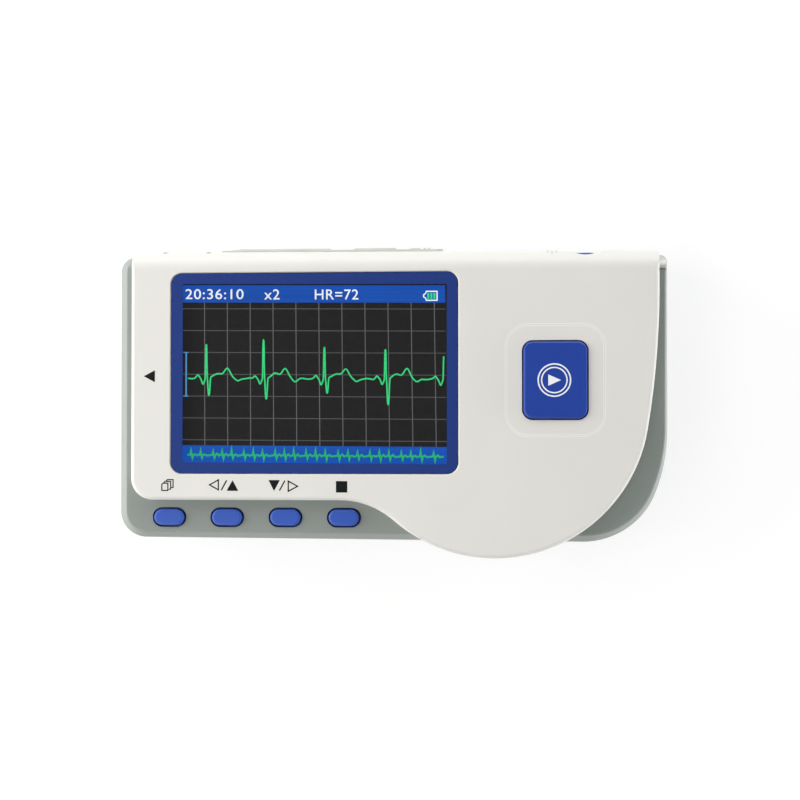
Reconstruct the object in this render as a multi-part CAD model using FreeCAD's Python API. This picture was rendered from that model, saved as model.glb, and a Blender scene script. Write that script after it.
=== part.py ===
import FreeCAD, Part
import math
import os

# Pocket ECG recorder, one STEP file per sub-component, in millimetres.
# It lies on its back with the screen up: X runs along its length to the right, Y across it
# towards the top edge, Z up through its thickness. The origin is on the rest plane, under the
# middle of the outline. All outlines are rounded polygons listed anticlockwise: (x, y, radius).

# ---------------------------------------------------------------- heights
PART_Z = 7.0          # parting plane of the rear cover and the front frame
BEVEL_Z = 16.0        # the body's side walls end here and its bevelled rim begins
LEDGE_Z = 18.4        # top of the grey ledge
FACE_Z = 21.0         # white face
DECK_LOW = 17.0       # underside of the frame's deck
PLATE_LOW = 19.4      # underside of the white face plate
BOARD_LOW, BOARD_TOP = 13.1, 14.3
FLOOR = 1.5           # thickness of the rear cover's floor

# ---------------------------------------------------------------- outlines
BODY_TOP, BODY_TOP_RIGHT = 33.6, 33.25    # far side of the grey body, which falls to the right
BODY_ROLL_R = 3.7                         # its roll down from the ledge
BODY = [(-62.55, BODY_TOP, 3.3), (-62.55, -30.91, 6.1), (55.6, -31.70, 17.6),
        (62.55, -13.43, 39.0), (62.55, BODY_TOP_RIGHT, 1.6)]
LEDGE = [(-60.7, 32.2, 2.4), (-60.7, -29.45, 4.6), (54.6, -30.1, 16.0), (61.9, -13.2, 37.0),
         (62.2, 32.4, 1.2)]
WALL = 1.7            # side walls of the grey body
COVER_WALL = 1.6
COVER_LEFT, COVER_RIGHT = -59.1, 60.6
COVER_TOP, COVER_TOP_RIGHT = 34.65, 34.23    # the top side falls a little towards the right
COVER_BOTTOM = -22.25
LOBE = (23.67, -0.5)  # centre of the round lobe
LOBE_R = 34.7
SCOOP_R = 18.8        # hollow curve that runs from the straight lower edge into the lobe
FLANK_R = 197.0       # long bow that runs from the right edge into the lobe
COVER_CORNER_R = 4.95
TOP_CORNERS_R = (1.5, 1.2)      # far corners, left and right
ROLL_R = 4.45         # roll of the face into the top side
RIM_R = 0.9           # small round on the other edges of the face
TOP_WALL_IN = 33.05   # inner face of the cover's top wall
FRAME_TOP_IN = 31.3   # inner face of the frame's wall behind it
APRON_Z, APRON_LOW_Z, APRON_LOW_R = 14.6, 9.0, 30.9   # the lobe's underside tapers to the body

# ---------------------------------------------------------------- display
LENS_X, LENS_Y, LENS_R = (-49.9, 15.58), (-16.23, 29.38), 2.6
LENS_Z = (20.13, 20.93)
SHELF_Z = (18.7, 20.03)         # shelf in the cover that carries the window
SHELF_WIDTH = 1.6
PRINT_X, PRINT_Y = (-47.3, 13.1), (-14.06, 26.82)     # clear opening in the printed border
BEZEL_X, BEZEL_Y, BEZEL_Z = (-50.7, 16.3), (-16.5, 29.9), (14.95, 18.2)
SHEET = 0.25                    # thickness of the steel bezel

# ---------------------------------------------------------------- keys
OVAL_KEYS = {"menu_key": -50.62, "left_up_key": -37.27, "right_down_key": -23.86,
             "stop_key": -10.47}
OVAL_Y = -26.24
OVAL_SIZE, OVAL_HOLE = (6.95, 3.7), (7.8, 4.5)
OVAL_FLANGE = (9.0, 5.7)
OVAL_TOP, OVAL_TRAVEL = 19.2, 0.7
MEASURE = (37.35, 4.82)
MEASURE_SIZE, MEASURE_R = (14.25, 17.3), 2.1
MEASURE_TOP, MEASURE_TRAVEL = 21.75, 0.8
MEASURE_GAP = 0.32
RING_OUT, RING_IN, RING_R = (22.35, 25.3), (21.61, 24.56), 5.1    # shallow groove round the key
RING_DEPTH, RING_LIP = 0.14, 0.1
POWER = (44.2, 16.3)            # X and Z of the power key's axis, which runs along Y
POWER_R, POWER_FACE_Y, POWER_STEM_Y, POWER_TRAVEL = 2.45, 33.6, 29.95, 0.5
POWER_SEAT_Y = 32.2             # inner face of the thick ring round the power key
DISH_BALL_R, DISH_BALL_Y = 4.5, 36.1
STEM_CLEAR = 0.15               # height of a dome contact on the board

# ---------------------------------------------------------------- ports and lanyard
PORT_X, PORT_Z = (-39.25, 12.15), (7.6, 17.6)         # recess for the soft port cover
PORT_Y = 33.8                   # floor of the recess
FLAP_X, FLAP_Z, FLAP_FACE_Y = (-38.4, 11.95), (7.85, 17.2), 34.85
PAD_TOP_Y = 35.2
LEAD_X, USB_X, SOCKET_Z = (-32.45, -16.45), (-7.6, 0.2), (9.3, 13.1)
SOCKET_MOUTH_Y = 32.8
LANYARD_X, LANYARD_Z, LANYARD_R = (-51.77, -41.69), 17.85, 0.7

# ---------------------------------------------------------------- battery bay
CELL_R, CELL_LENGTH = 5.2, 44.5
CELL_Y, CELL_Z = (-7.0, 4.2), 6.9
BAY_X, BAY_Y, BAY_ROOF = (5.2, 56.0), (-13.0, 10.2), (12.2, 13.0)
BAY_WALL = 1.2
DOOR_X, DOOR_Y, DOOR_TOP = 4.05, (-14.0, 11.2), 1.5
RAIL = 2.4                      # width of the rails beside the door
TONGUE, TONGUE_Z = 1.0, (0.75, 1.45)

# ---------------------------------------------------------------- fasteners
CASE_SCREWS = [(-56.5, 27.0), (-57.2, -17.5), (1.5, -25.8), (47.5, -22.5), (56.0, 26.5)]
BOARD_SCREWS = [(-44.0, -19.8), (-4.0, -20.2), (21.0, 27.5), (57.0, 13.2), (28.0, -20.0)]
COVER_PINS = [(-55.4, 20.0), (-55.4, -10.0), (20.8, 18.0), (20.8, -12.0), (53.5, 20.0),
              (51.0, -12.0)]

# ---------------------------------------------------------------- electrodes
ELECTRODE_Z, ELECTRODE_PROUD = (8.4, 14.4), 0.15
ELECTRODES = {"left_electrode": (-1, (-14.0, 14.0)), "index_electrode": (1, (12.0, 28.0)),
              "middle_electrode": (1, (-5.5, 8.5))}
CAP_X, CAP_Y = 60.72, 29.75     # the index finger's electrode wraps over the corner from here


# ================================================================ helpers
def vec(x, y, z=0.0):
    return FreeCAD.Vector(x, y, z)


def box(x, y, z):
    """A block between three (low, high) pairs."""
    return Part.makeBox(x[1] - x[0], y[1] - y[0], z[1] - z[0], vec(x[0], y[0], z[0]))


def rod(start, direction, radius, length):
    return Part.makeCylinder(radius, length, vec(*start), vec(*direction))


def upright(x, y, z, radius):
    """A round post between two heights."""
    return rod((x, y, z[0]), (0, 0, 1), radius, z[1] - z[0])


def rounded_wire(corners, z=0.0):
    """A closed outline of straight runs joined by tangent arcs."""
    arcs = []
    for i, (x, y, radius) in enumerate(corners):
        before, after = corners[i - 1], corners[(i + 1) % len(corners)]
        tip = vec(x, y, z)
        back = (vec(before[0], before[1], z) - tip).normalize()
        ahead = (vec(after[0], after[1], z) - tip).normalize()
        half = back.getAngle(ahead) / 2
        reach = radius / math.tan(half)
        centre = tip + (back + ahead).normalize() * (radius / math.sin(half))
        middle = centre + (tip - centre).normalize() * radius
        arcs.append((tip + back * reach, middle, tip + ahead * reach))
    edges = []
    for i, (start, middle, end) in enumerate(arcs):
        previous = arcs[i - 1][2]
        if previous.distanceToPoint(start) > 1e-6:
            edges.append(Part.LineSegment(previous, start).toShape())
        edges.append(Part.Arc(start, middle, end).toShape())
    return Part.Wire(edges)


def inset(corners, distance):
    """The same outline drawn in by a distance: its sides move in and its arcs get smaller."""
    sides = []
    for i, (x, y, _) in enumerate(corners):
        nx, ny, _ = corners[(i + 1) % len(corners)]
        run = vec(nx - x, ny - y).normalize()
        inward = vec(-run.y, run.x)
        sides.append((vec(x, y) + inward * distance, run))
    result = []
    for i, (_, _, radius) in enumerate(corners):
        (p, u), (q, w) = sides[i - 1], sides[i]
        t = ((q.x - p.x) * w.y - (q.y - p.y) * w.x) / (u.x * w.y - u.y * w.x)
        result.append((p.x + u.x * t, p.y + u.y * t, max(radius - distance, 0.4)))
    return result


def prism(wire, z_low, z_high):
    face = Part.Face(wire)
    face.translate(vec(0, 0, z_low))
    return face.extrude(vec(0, 0, z_high - z_low))


def plate(corners, z):
    return prism(rounded_wire(corners), z[0], z[1])


def rectangle(x, y, radius):
    return [(x[0], y[1], radius), (x[0], y[0], radius), (x[1], y[0], radius), (x[1], y[1], radius)]


def slab(x, y, z, radius):
    """A block whose four upright edges are rounded."""
    return plate(rectangle(x, y, radius), z)


def around(centre, size):
    """The (low, high) pairs of a rectangle of that size about a centre."""
    return [(c - s / 2, c + s / 2) for c, s in zip(centre, size)]


def pill(centre, size, z):
    """A plate with fully round ends, longer along X."""
    x, y = around(centre, size)
    return slab(x, y, z, size[1] / 2 - 1e-4)


def grow(pair, amount):
    return (pair[0] - amount, pair[1] + amount)


def swept_profile(points, y):
    """A flat profile of (x, z) points carried along Y between two places."""
    wire = Part.makePolygon([vec(px, y[0], pz) for px, pz in points + points[:1]])
    return Part.Face(wire).extrude(vec(0, y[1] - y[0], 0))


def swept_side(points, x):
    """A flat profile of (y, z) points carried along X between two places."""
    wire = Part.makePolygon([vec(x[0], py, pz) for py, pz in points + points[:1]])
    return Part.Face(wire).extrude(vec(x[1] - x[0], 0, 0))


def edges_at(shape, z):
    """The edges that lie in one level plane."""
    return [e for e in shape.Edges
            if abs(e.BoundBox.ZMin - z) < 0.01 and abs(e.BoundBox.ZMax - z) < 0.01]


def edges_inside(edges, x, y):
    return [e for e in edges if x[0] < e.CenterOfMass.x < x[1] and y[0] < e.CenterOfMass.y < y[1]]


def close(edge, other):
    return edge.CenterOfMass.distanceToPoint(other.CenterOfMass) < 0.01


def union(shapes):
    shapes = list(shapes)
    return shapes[0].multiFuse(shapes[1:]).removeSplitter() if len(shapes) > 1 else shapes[0]


def group(shapes):
    """Separate like solids that share one node."""
    return Part.makeCompound(list(shapes))


def save(name, shape):
    solids = shape.Solids
    ok = shape.isValid() and solids and all(s.Volume > 0 for s in solids)
    print("%-20s solids %2d volume %10.2f %s"
          % (name, len(solids), shape.Volume, "" if ok else "BAD"))
    result = solids[0] if len(solids) == 1 else shape
    result.exportStep("parts/%s.step" % name)


# ================================================================ shared shapes
def cover_outline(drawn_in=0.0):
    """Outline of the white cover, or a parallel line inside it."""
    left, right = COVER_LEFT + drawn_in, COVER_RIGHT - drawn_in
    top, top_right = COVER_TOP - drawn_in, COVER_TOP_RIGHT - drawn_in
    bottom = COVER_BOTTOM + drawn_in
    lobe_x, lobe_y = LOBE
    lobe_r, scoop_r, flank_r = LOBE_R - drawn_in, SCOOP_R + drawn_in, FLANK_R - drawn_in
    corner_r = COVER_CORNER_R - drawn_in
    top_r, right_r = [max(r - drawn_in, 0.3) for r in TOP_CORNERS_R]
    lobe = vec(lobe_x, lobe_y)
    # the scoop touches the straight lower edge and the outside of the lobe
    scoop_y = bottom - scoop_r
    scoop = vec(lobe_x - math.sqrt((lobe_r + scoop_r) ** 2 - (lobe_y - scoop_y) ** 2), scoop_y)
    scoop_start = scoop + vec(0, scoop_r)
    scoop_end = scoop + (lobe - scoop).normalize() * scoop_r
    scoop_middle = scoop + ((scoop_start + scoop_end) * 0.5 - scoop).normalize() * scoop_r
    # the flank touches the right edge and holds the lobe inside it
    flank_x = right - flank_r
    flank = vec(flank_x, lobe_y + math.sqrt((flank_r - lobe_r) ** 2 - (lobe_x - flank_x) ** 2))
    flank_end = vec(right, flank.y)
    flank_start = flank + (lobe - flank).normalize() * flank_r
    flank_middle = flank + ((flank_start + flank_end) * 0.5 - flank).normalize() * flank_r
    lobe_low = lobe + vec(0, -lobe_r)
    diagonal = math.sqrt(0.5)
    edges = [
        Part.LineSegment(vec(left, top - top_r), vec(left, bottom + corner_r)),
        Part.Arc(vec(left, bottom + corner_r),
                 vec(left + corner_r * (1 - diagonal), bottom + corner_r * (1 - diagonal)),
                 vec(left + corner_r, bottom)),
        Part.LineSegment(vec(left + corner_r, bottom), scoop_start),
        Part.Arc(scoop_start, scoop_middle, scoop_end),
        Part.Arc(scoop_end, lobe_low, flank_start),
        Part.Arc(flank_start, flank_middle, flank_end),
        Part.LineSegment(flank_end, vec(right, top_right - right_r)),
        Part.Arc(vec(right, top_right - right_r),
                 vec(right - right_r * (1 - diagonal), top_right - right_r * (1 - diagonal)),
                 vec(right - right_r, top_right)),
        Part.LineSegment(vec(right - right_r, top_right), vec(left + top_r, top)),
        Part.Arc(vec(left + top_r, top),
                 vec(left + top_r * (1 - diagonal), top - top_r * (1 - diagonal)),
                 vec(left, top - top_r)),
    ]
    return Part.Wire([e.toShape() for e in edges])


def rolled_block(radius, top, face):
    """A long block along X whose upper far edge is a roll of the face into the top side."""
    near, low, end = -60.0, 0.0, 80.0
    diagonal = math.sqrt(0.5)
    turn = vec(-end, top - radius * (1 - diagonal), face - radius * (1 - diagonal))
    edges = [
        Part.LineSegment(vec(-end, near, low), vec(-end, top, low)),
        Part.LineSegment(vec(-end, top, low), vec(-end, top, face - radius)),
        Part.Arc(vec(-end, top, face - radius), turn, vec(-end, top - radius, face)),
        Part.LineSegment(vec(-end, top - radius, face), vec(-end, near, face)),
        Part.LineSegment(vec(-end, near, face), vec(-end, near, low)),
    ]
    return Part.Face(Part.Wire([e.toShape() for e in edges])).extrude(vec(2 * end, 0, 0))


def falling_block(radius, face, x, y):
    """The rolled block turned so that its far side runs between two (left, right) places."""
    block = rolled_block(radius, y[0], face)
    fall = math.atan2(y[1] - y[0], x[1] - x[0])
    block.rotate(vec(x[0], y[0]), vec(0, 0, 1), math.degrees(fall))
    return block


def cover_block(drawn_in=0.0):
    x = (COVER_LEFT + TOP_CORNERS_R[0], COVER_RIGHT - TOP_CORNERS_R[1])
    y = (COVER_TOP - drawn_in, COVER_TOP_RIGHT - drawn_in)
    return falling_block(ROLL_R - drawn_in, FACE_Z - drawn_in, x, y)


def grey_solid():
    """Outer shape of the front frame: upright walls, then a bevel up to the ledge."""
    walls = plate(BODY, (PART_Z, BEVEL_Z))
    rim = Part.makeLoft([rounded_wire(BODY, BEVEL_Z), rounded_wire(LEDGE, LEDGE_Z)], True, True)
    solid = walls.fuse(rim).removeSplitter()
    solid = solid.makeFillet(0.5, edges_at(solid, LEDGE_Z))
    solid = solid.makeFillet(0.9, edges_at(solid, BEVEL_Z))
    solid = solid.common(falling_block(BODY_ROLL_R, LEDGE_Z, (BODY[0][0], BODY[4][0]),
                                       (BODY_TOP, BODY_TOP_RIGHT)))
    # the white cover's top wall takes the place of the frame's there
    return solid.cut(box((COVER_LEFT, COVER_RIGHT), (TOP_WALL_IN, 40.0), (0.0, 30.0)))


def window_pocket(z, gap):
    return slab(grow(LENS_X, gap), grow(LENS_Y, gap), z, LENS_R + gap)


def socket_opening(x, y, gap):
    return box(grow(x, gap), y, grow(SOCKET_Z, gap))


# ================================================================ shells
def front_cover():
    outer = prism(cover_outline(), PART_Z, FACE_Z)
    outer = outer.makeFillet(RIM_R, edges_at(outer, FACE_Z))
    outer = outer.common(cover_block())
    hollow = prism(cover_outline(COVER_WALL), LEDGE_Z - 0.05, PLATE_LOW)
    hollow = hollow.common(cover_block(COVER_WALL))
    shell = outer.cut(hollow).cut(grey_solid())
    # the lobe's underside runs back to the body as a cone
    taper = Part.makeCone(APRON_LOW_R, LOBE_R + 0.01, APRON_Z - APRON_LOW_Z,
                          vec(LOBE[0], LOBE[1], APRON_LOW_Z))
    below = box((-30.0, 80.0), (-45.0, -20.0), (0.0, APRON_Z))
    shell = shell.cut(below.cut(taper))
    frame_rib = window_pocket((SHELF_Z[0], PLATE_LOW), 1.3)
    pins = [upright(x, y, (DECK_LOW - 0.5, PLATE_LOW + 0.2), 1.0) for x, y in COVER_PINS]
    shell = union([shell, frame_rib] + pins)
    # display window: a pocket on a narrow shelf
    shelf_x, shelf_y = grow(LENS_X, -SHELF_WIDTH), grow(LENS_Y, -SHELF_WIDTH)
    shell = shell.cut(window_pocket((SHELF_Z[1], FACE_Z + 1), 0.05))
    shell = shell.cut(slab(shelf_x, shelf_y, (0.0, FACE_Z), 1.2))
    # measuring key hole, and the ring groove round it
    key_x, key_y = around(MEASURE, MEASURE_SIZE)
    hole = slab(grow(key_x, MEASURE_GAP), grow(key_y, MEASURE_GAP), (LEDGE_Z, FACE_Z + 1),
                MEASURE_R + MEASURE_GAP)
    groove_z = (FACE_Z - RING_DEPTH, FACE_Z + 1)
    ring = slab(*around(MEASURE, RING_OUT), groove_z, RING_R)
    ring = ring.cut(slab(*around(MEASURE, RING_IN), groove_z, RING_R - (RING_OUT[0] - RING_IN[0]) / 2))
    shell = shell.cut(hole).cut(ring)
    face_edges = edges_at(shell, FACE_Z)
    rims = edges_inside(face_edges, grow(LENS_X, 1), grow(LENS_Y, 1))
    near_key = edges_inside(face_edges, *around(MEASURE, (17.0, 20.0)))
    lips = [e for e in edges_inside(face_edges, *around(MEASURE, (23.0, 26.0)))
            if not any(e.isSame(other) for other in near_key)]
    shell = shell.makeChamfer(0.22, rims)
    lips = [e for e in edges_at(shell, FACE_Z) if any(close(e, lip) for lip in lips)]
    shell = shell.makeChamfer(RING_LIP, lips)
    # power key: a thick ring with its hole, and a scooped dish
    seat = rod((POWER[0], POWER_SEAT_Y, POWER[1]), (0, 1, 0), POWER_R + 1.7, 1.3)
    ball = Part.makeSphere(DISH_BALL_R, vec(POWER[0], DISH_BALL_Y, POWER[1]))
    bore = rod((POWER[0], 30.0, POWER[1]), (0, 1, 0), POWER_R + 0.25, 10.0)
    room = rod((POWER[0], 30.0, POWER[1]), (0, 1, 0), POWER_R + 1.2, POWER_SEAT_Y - 30.0)
    shell = shell.fuse(seat.common(outer)).cut(ball).cut(bore).cut(room)
    # recess for the port cover, socket openings, lanyard holes, slot for the cover's root
    shell = shell.cut(box(PORT_X, (PORT_Y, 40.0), PORT_Z))
    for x in (LEAD_X, USB_X):
        shell = shell.cut(socket_opening(x, (30.0, 40.0), 0.5))
    shell = shell.cut(flap_root_block(0.05))
    for x in LANYARD_X:
        shell = shell.cut(rod((x, 31.9, LANYARD_Z), (0, 1, 0), LANYARD_R, 10.0))
    return shell.cut(lanyard_channel()).removeSplitter()


def lanyard_channel():
    """The way for a cord behind the wall, from one lanyard hole to the other."""
    return box(grow(LANYARD_X, LANYARD_R), (31.2, 32.6), grow((LANYARD_Z, LANYARD_Z), LANYARD_R))


def front_frame():
    solid = grey_solid()
    cavity = plate(inset(BODY, WALL), (PART_Z - 1, DECK_LOW))
    cavity = cavity.common(box((-80.0, 80.0), (-40.0, FRAME_TOP_IN), (0.0, 30.0)))
    solid = solid.cut(cavity)
    case_bosses = [upright(x, y, (10.0, DECK_LOW + 0.2), 2.5) for x, y in CASE_SCREWS]
    board_bosses = [upright(x, y, (BOARD_TOP, DECK_LOW + 0.2), 2.1) for x, y in BOARD_SCREWS]
    solid = union([solid] + case_bosses + board_bosses)
    cuts = [upright(x, y, (9.0, 16.4), 1.02) for x, y in CASE_SCREWS]
    cuts += [upright(x, y, (BOARD_TOP - 1, 16.6), 0.82) for x, y in BOARD_SCREWS]
    # rebate for the rear cover's lip
    rebate = plate(inset(BODY, 0.8), (PART_Z - 1, PART_Z + 1.1))
    cuts.append(rebate.cut(plate(inset(BODY, 2.3), (PART_Z - 1, PART_Z + 1.1))))
    deck_z = (DECK_LOW - 1, LEDGE_Z + 1)
    cuts.append(slab(grow(BEZEL_X, 0.4), grow(BEZEL_Y, 0.4), deck_z, 0.6))
    flange_x, flange_y = around(MEASURE, MEASURE_SIZE)
    cuts.append(slab(grow(flange_x, 2.2), grow(flange_y, 2.2), deck_z, 2.0))
    cuts += [pill((x, OVAL_Y), OVAL_HOLE, deck_z) for x in OVAL_KEYS.values()]
    cuts += [upright(x, y, deck_z, 1.1) for x, y in COVER_PINS]
    # top wall: sockets, power key, lanyard channel, port cover root
    cuts += [socket_opening(x, (30.0, 34.0), 0.25) for x in (LEAD_X, USB_X)]
    cuts.append(rod((POWER[0], 30.9, POWER[1]), (0, 1, 0), POWER_R + 1.8, 4.0))
    cuts.append(rod((POWER[0], 29.2, POWER[1]), (0, 1, 0), 1.5, 4.0))
    cuts.append(lanyard_channel())
    cuts.append(flap_root_block(0.1))
    cuts += [corner_room(0.05), corner_link(0.05)]
    for side, y in ELECTRODES.values():
        cuts.append(electrode_plate(side, y, 0.05))
        cuts.append(electrode_stud(side, y, 0.05))
    for cut in cuts:
        solid = solid.cut(cut)
    return solid.removeSplitter()


def rear_shell_outside():
    solid = plate(BODY, (0.0, PART_Z))
    return solid.makeFillet(2.4, edges_at(solid, 0.0))


def rear_cover():
    solid = rear_shell_outside()
    inside = plate(inset(BODY, WALL), (FLOOR, PART_Z + 1))
    solid = solid.cut(inside)
    # a lip stands inside the frame, and a fine shadow line runs round the parting
    lip = plate(inset(BODY, 0.9), (PART_Z - 1, PART_Z + 1)).cut(
        plate(inset(BODY, WALL), (PART_Z - 2, PART_Z + 2)))
    shadow = plate(BODY, (PART_Z - 0.35, PART_Z)).cut(
        plate(inset(BODY, 0.35), (PART_Z - 1, PART_Z + 1)))
    bosses = [upright(x, y, (0.5, 9.95), 2.8) for x, y in CASE_SCREWS]
    end_x = BODY[3][0] - WALL + 0.2
    rails = [box((1.5, end_x), (BAY_Y[0] - BAY_WALL - RAIL, BAY_Y[0]), (0.0, 3.0)),
             box((1.5, end_x), (BAY_Y[1], BAY_Y[1] + BAY_WALL + RAIL), (0.0, 3.0)),
             box((1.5, BAY_X[0]), BAY_Y, (0.0, 3.0)),
             box((BAY_X[1], end_x), BAY_Y, (1.6, 3.0))]
    rails = [rail.common(rear_shell_outside()) for rail in rails]
    bay = box(grow(BAY_X, BAY_WALL), grow(BAY_Y, BAY_WALL), (1.6, BAY_ROOF[1]))
    ribs = [box((-60.0, 1.6), (y - 0.5, y + 0.5), (1.0, 3.6)) for y in (-21.0, -8.0, 8.0, 21.0)]
    ribs += [box((x - 0.5, x + 0.5), (-28.0, 29.0), (1.0, 3.2)) for x in (-40.0, -14.0)]
    solid = union([solid.cut(shadow), lip, bay] + rails + bosses + ribs)
    cuts = [box(BAY_X, BAY_Y, (-1.0, BAY_ROOF[0])),
            box((BAY_X[1] - 0.9, BAY_X[1]), BAY_Y, (BAY_ROOF[0] - 1, BAY_ROOF[1] + 1)),
            box((DOOR_X - 0.15, 70.0), grow(DOOR_Y, 0.1), (-1.0, 1.6)),
            box((DOOR_X - 1.1, 70.0), grow(DOOR_Y, TONGUE + 0.15), (0.68, 1.55))]
    for x, y in CASE_SCREWS:
        cuts.append(upright(x, y, (-1.0, 4.0), 2.2))
        cuts.append(upright(x, y, (3.0, 12.0), 1.15))
    cuts += [upright(x, y, (-1.0, 5.0), 0.55) for x, y in sound_holes()]
    for cut in cuts:
        solid = solid.cut(cut)
    return solid.removeSplitter()


def sound_holes():
    """Six holes round one, over the buzzer."""
    x, y = -21.0, -14.5
    return [(x, y)] + [(x + 2.4 * math.cos(math.radians(a)), y + 2.4 * math.sin(math.radians(a)))
                       for a in range(0, 360, 60)]


def battery_door():
    """A plate cut from the rear shell's own outside, so it carries on its rounded end."""
    panel = rear_shell_outside().common(box((DOOR_X, 80.0), DOOR_Y, (0.0, DOOR_TOP)))
    inside = inset(BODY, 0.3)
    tongues = plate(inside, TONGUE_Z).common(
        box((DOOR_X - 1.0, 58.0), grow(DOOR_Y, TONGUE), TONGUE_Z))
    grip = [box((x, x + 0.9), (-7.4, 4.6), (-1.0, 0.4)) for x in (45.0, 47.0, 49.0, 51.0)]
    arrow = prism(Part.makePolygon([vec(53.6, -3.6), vec(56.6, -1.4), vec(53.6, 0.8),
                                    vec(53.6, -3.6)]), -1.0, 0.3)
    panel = union([panel, tongues])
    for cut in grip + [arrow]:
        panel = panel.cut(cut)
    return panel.removeSplitter()


# ================================================================ port cover
def flap_root_block(gap):
    """The soft cover's fixed root: a stub through the wall with a wider foot behind it."""
    x = (FLAP_X[0] + 1.2, FLAP_X[0] + 3.4)
    stub = box(grow(x, gap), (FRAME_TOP_IN - 0.2, PORT_Y), grow((9.8, 12.2), gap))
    return stub


def port_cover_root():
    foot = box((FLAP_X[0] + 0.4, FLAP_X[0] + 4.2), (FRAME_TOP_IN - 1.0, FRAME_TOP_IN - 0.05),
               (9.3, 12.7))
    return union([flap_root_block(0.0), foot])


def port_cover():
    """Thin strip with two raised pads and a ribbed pull tab, round at its hinge end."""
    inner, outer = PORT_Y + 0.05, FLAP_FACE_Y
    thick = outer - inner
    strip = box(FLAP_X, (inner, outer), FLAP_Z)
    ends = [e for e in strip.Edges if abs(e.BoundBox.XMin - FLAP_X[1]) < 0.01
            and abs(e.BoundBox.YLength - thick) < 0.01]
    strip = strip.makeFillet(1.2, ends)
    barrel = rod((FLAP_X[0], inner + thick / 2, FLAP_Z[0]), (0, 0, 1), thick / 2,
                 FLAP_Z[1] - FLAP_Z[0])
    top = PAD_TOP_Y
    z = (FLAP_Z[0] + 0.5, FLAP_Z[1] - 0.25)
    long_pad = prism(Part.makePolygon([vec(-38.3, outer - 0.1), vec(-13.35, outer - 0.1),
                                       vec(-13.8, top), vec(-34.3, top),
                                       vec(-38.3, outer - 0.1)]), z[0], z[1])
    short_pad = prism(Part.makePolygon([vec(-8.6, outer - 0.1), vec(1.6, outer - 0.1),
                                        vec(1.15, top), vec(-8.0, top),
                                        vec(-8.6, outer - 0.1)]), z[0], z[1])
    mound = prism(Part.makePolygon([vec(3.4, outer - 0.1), vec(7.0, outer - 0.1), vec(6.9, top - 0.05),
                                    vec(5.2, top - 0.05), vec(3.4, outer - 0.1)]), z[0], z[1])
    ridges = [box((x, x + 0.5), (outer - 0.1, top), z) for x in (7.55, 8.6)]
    plugs = [box(grow(x, -0.2), (TOP_WALL_IN - 0.1, inner + 0.1), grow(SOCKET_Z, 0.1))
             for x in (LEAD_X, USB_X)]
    return union([strip, barrel, long_pad, short_pad, mound] + ridges + plugs)


# ================================================================ keys
def oval_key(x):
    cap = pill((x, OVAL_Y), OVAL_SIZE, (DECK_LOW - 0.5, OVAL_TOP))
    cap = cap.makeFillet(0.55, edges_at(cap, OVAL_TOP))
    flange = pill((x, OVAL_Y), OVAL_FLANGE, (DECK_LOW - 0.9, DECK_LOW - 0.1))
    stem = upright(x, OVAL_Y, (stem_end(OVAL_TRAVEL), DECK_LOW - 0.5), 1.2)
    return union([cap, flange, stem])


def stem_end(travel):
    """Height of a key's stem at rest: its travel and a little more above the dome contact."""
    return BOARD_TOP + STEM_CLEAR + travel + 0.1


def measure_key():
    x, y = around(MEASURE, MEASURE_SIZE)
    cap = slab(x, y, (PLATE_LOW - 0.5, MEASURE_TOP), MEASURE_R)
    cap = cap.makeFillet(0.5, edges_at(cap, MEASURE_TOP))
    flange = slab(grow(x, 1.5), grow(y, 1.5), (PLATE_LOW - 0.85, PLATE_LOW - 0.1), 2.5)
    stem = upright(MEASURE[0], MEASURE[1], (stem_end(MEASURE_TRAVEL), PLATE_LOW - 0.5), 1.75)
    return union([cap, flange, stem])


def power_key():
    x, z = POWER
    cap = rod((x, 31.6, z), (0, 1, 0), POWER_R, POWER_FACE_Y - 31.6)
    face_rim = [e for e in cap.Edges if abs(e.BoundBox.YMin - POWER_FACE_Y) < 0.01]
    cap = cap.makeFillet(0.35, face_rim)
    flange = rod((x, POWER_SEAT_Y - 0.7, z), (0, 1, 0), POWER_R + 0.75, 0.6)
    stem = rod((x, POWER_STEM_Y, z), (0, 1, 0), 1.1, 2.0)
    return union([cap, flange, stem])


def key_strip_mat():
    """Silicone sheet under the four oval keys, with a collar round each stem."""
    xs = list(OVAL_KEYS.values())
    sheet_z, collar_top = (BOARD_TOP + 0.3, BOARD_TOP + 0.7), BOARD_TOP + 0.95
    sheet = slab((xs[0] - 4.2, xs[-1] + 4.2), (OVAL_Y - 2.9, OVAL_Y + 2.9), sheet_z, 1.5)
    mat = union([sheet] + [upright(x, OVAL_Y, (sheet_z[0], collar_top), 2.6) for x in xs])
    for x in xs:
        mat = mat.cut(upright(x, OVAL_Y, (BOARD_TOP, BOARD_TOP + 3), 1.6))
    return mat


def measure_key_mat():
    sheet_z = (BOARD_TOP + 0.3, BOARD_TOP + 0.8)
    x, y = around(MEASURE, MEASURE_SIZE)
    sheet = slab(x, y, sheet_z, 2.0)
    dome_top = PLATE_LOW - 0.85 - MEASURE_TRAVEL - 0.05
    dome = Part.makeCone(5.0, 3.4, dome_top - sheet_z[0], vec(MEASURE[0], MEASURE[1], sheet_z[0]))
    bore = Part.makeCone(4.0, 2.2, dome_top - BOARD_TOP, vec(MEASURE[0], MEASURE[1], BOARD_TOP))
    return union([sheet, dome]).cut(bore)


def dome_contacts():
    """Pressed steel snap domes, flat on top, one under each key's stem."""
    spots = [(x, OVAL_Y) for x in OVAL_KEYS.values()] + [MEASURE]
    return group([Part.makeCone(2.0, 1.1, STEM_CLEAR, vec(x, y, BOARD_TOP)) for x, y in spots])


# ================================================================ display
def display_window():
    lens = slab(LENS_X, LENS_Y, LENS_Z, LENS_R)
    return lens.makeChamfer(0.15, edges_at(lens, LENS_Z[1]))


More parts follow.
